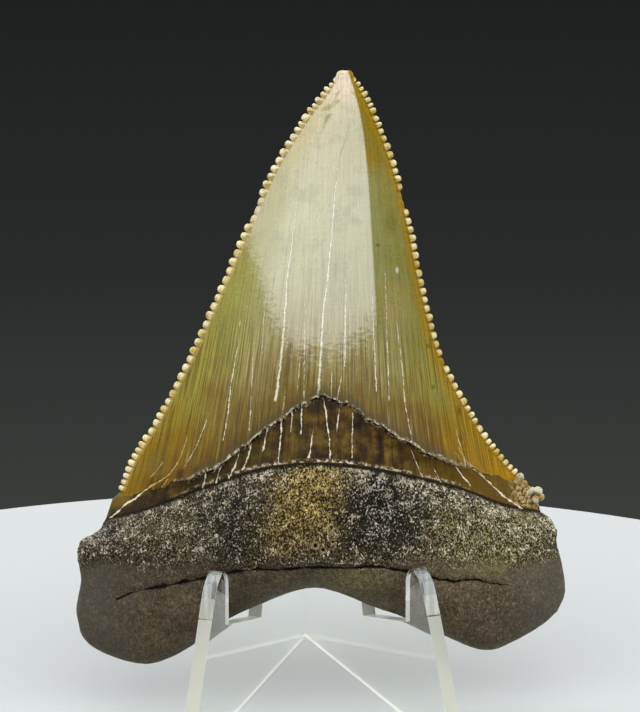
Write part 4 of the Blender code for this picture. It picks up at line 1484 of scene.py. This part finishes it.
def acrylic(name, colour, roughness, transmission):
    """Clear plastic hardly shades what lies under it, so its shadow is a faint tint."""
    tree = open_tree(name)
    either = node(tree, "MixShader", node(tree, "LightPath", output=1),
                  Wire(tree.nodes["Principled BSDF"].outputs[0], tree),
                  node(tree, "BsdfTransparent", Color=SHADOW_TINT))
    feed(tree.nodes["Material Output"].inputs["Surface"], either)
    dress(name, Base_Color=colour, Roughness=roughness, Transmission_Weight=transmission,
          IOR=ACRYLIC_IOR)


smears = noise(object_place("polished acrylic"), 4.0 * MM, 3.0)
acrylic("polished acrylic", OLIVE_CAST, smears.fade(0.45, 0.8, 0.02, 0.07), 1.0)
sawn_place = object_place("sawn acrylic edge")
lines = noise(node(sawn_place.tree, "Mapping", sawn_place, Scale=(1.0, 0.04, 0.04)), 0.4 * MM, 3.0)
acrylic("sawn acrylic edge", blend(lines.fade(0.4, 0.62), (196, 199, 198), (250, 251, 250)),
        lines.fade(0.3, 0.7, 0.03, 0.2), 0.94)
acrylic("frosted acrylic corner", paint(246, 248, 245), 0.3, 0.35)
acrylic("cloudy acrylic edge", paint(206, 208, 194), 0.35, 0.35)

# %% Which face has which finish
NEARLY_ALONG = 0.9             # a face of the sheet looks along the sheet's normal
PAST_PRONG = 0.5               # millimetres behind the prong that still count as the prong
prong_end = stand_high.y - (WING_LENGTH - PRONG_BACK - PAST_PRONG) * math.cos(WING_ANGLE) * MM
sheet_normals = [Vector((math.cos(WING_ANGLE) * turn, math.sin(WING_ANGLE), 0.0)) for turn in (-1, 1)]
for face in stand.data.polygons:
    if face.material_index == SOFT_EDGES:
        continue
    on_prong = face.center.y < prong_end and face.center.z > CLEAR_FROM * MM
    if max(abs(face.normal.dot(normal)) for normal in sheet_normals) > NEARLY_ALONG:
        face.material_index = FACES
    else:
        face.material_index = CLEAR_EDGES if on_prong else CLOUDY_EDGES
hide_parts("stand")
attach(stand, "root")

# %% [markdown]
# ## Floor, backdrop and light
#
# The floor is a round white turntable in a light tent. The tent is painted on the world: plain
# dark grey below, a little lighter towards the floor, with two bright parts above. The front
# panel bends round from the left to the right. Its reflection is the pale sheen on the crown,
# which ends sharply where the enamel turns past the panel's right end. The sides and the back of
# the tent light the floor all round and shine through the stand.

# %% Turntable
TABLE_RADIUS, TABLE_THICK, TABLE_ROUNDING = 0.087, 0.012, 0.004
TABLE_MIDDLE = (-0.0049, -0.0146)
TABLE_GAP = 0.00005            # the floor lies a hair under the stand

bpy.ops.object.select_all(action="DESELECT")
bpy.ops.mesh.primitive_cylinder_add(vertices=192, radius=TABLE_RADIUS, depth=TABLE_THICK,
                                    location=(*TABLE_MIDDLE, -TABLE_THICK / 2 - TABLE_GAP))
table = bpy.context.object
table.name = "turntable"
modify(table, "BEVEL", width=TABLE_ROUNDING, segments=8, limit_method="ANGLE")
bpy.ops.object.shade_smooth_by_angle(angle=math.radians(30))
dress("white turntable", Base_Color=paint(186, 190, 191), Roughness=0.45, Specular_IOR_Level=0.15)
table.data.materials.append(bpy.data.materials["white turntable"])

# %% Light and backdrop
FRONT_LIGHT, TENT_LIGHT = 1.75, 1.5       # brightness of the front panel and of the tent
FILL_LIGHT = 0.12              # and of the room, over the horizon
FRONT_LEFT_END, FRONT_RIGHT_END = -96.0, 92.0
FRONT_LOWER_EDGE = 28.0
FRONT_EDGE_DIP = 0.0045        # the panel's ends hang lower than its middle
LEFT_BLUR, RIGHT_BLUR, LOWER_BLUR = 7.0, 3.0, 2.0        # degrees over which its borders fade
REAR_PANEL = (112.0, 135.0)    # the rear of the tent grows bright between these angles
HORIZON = (-4.0, 6.0)          # and the tent and the room between these elevations
BACKDROP_LOOK = (-0.30, -0.155)           # the backdrop darkens between these upward slopes
BACKDROP_COLOURS = [(0.0, 60, 63, 60), (0.45, 40, 43, 41), (1.0, 28, 30, 31)]

world = bpy.data.worlds.new("light tent")
bpy.context.scene.world = world
world.use_nodes = True
tree = world.node_tree
parts = node(tree, "SeparateXYZ", node(tree, "TexCoord")).socket.node.outputs
look_x, look_y, look_z = (Wire(part, tree) for part in parts)
azimuth = maths("ARCTAN2", look_x, look_y * -1.0) * math.degrees(1.0)
elevation = maths("ARCSINE", look_z) * math.degrees(1.0)
over_edge = elevation - FRONT_LOWER_EDGE + azimuth * azimuth * FRONT_EDGE_DIP
front_panel = (azimuth.fade(FRONT_LEFT_END - LEFT_BLUR, FRONT_LEFT_END + LEFT_BLUR)
               * azimuth.fade(FRONT_RIGHT_END + RIGHT_BLUR, FRONT_RIGHT_END - RIGHT_BLUR)
               * over_edge.fade(-LOWER_BLUR, LOWER_BLUR))
rear_panel = elevation.fade(*HORIZON) * abs(azimuth).fade(*REAR_PANEL)
backdrop = ramp(node(tree, "MapRange", look_z, *BACKDROP_LOOK), BACKDROP_COLOURS)
fill = elevation.fade(*HORIZON, 0.0, FILL_LIGHT)
brightness = front_panel * FRONT_LIGHT + fill + rear_panel * TENT_LIGHT
feed(tree.nodes["Background"].inputs["Color"],
     blend(1.0, backdrop, join(brightness, brightness, brightness), "ADD"))
bpy.context.scene.view_settings.view_transform = "Standard"
print("light tent of", len(tree.nodes), "nodes")
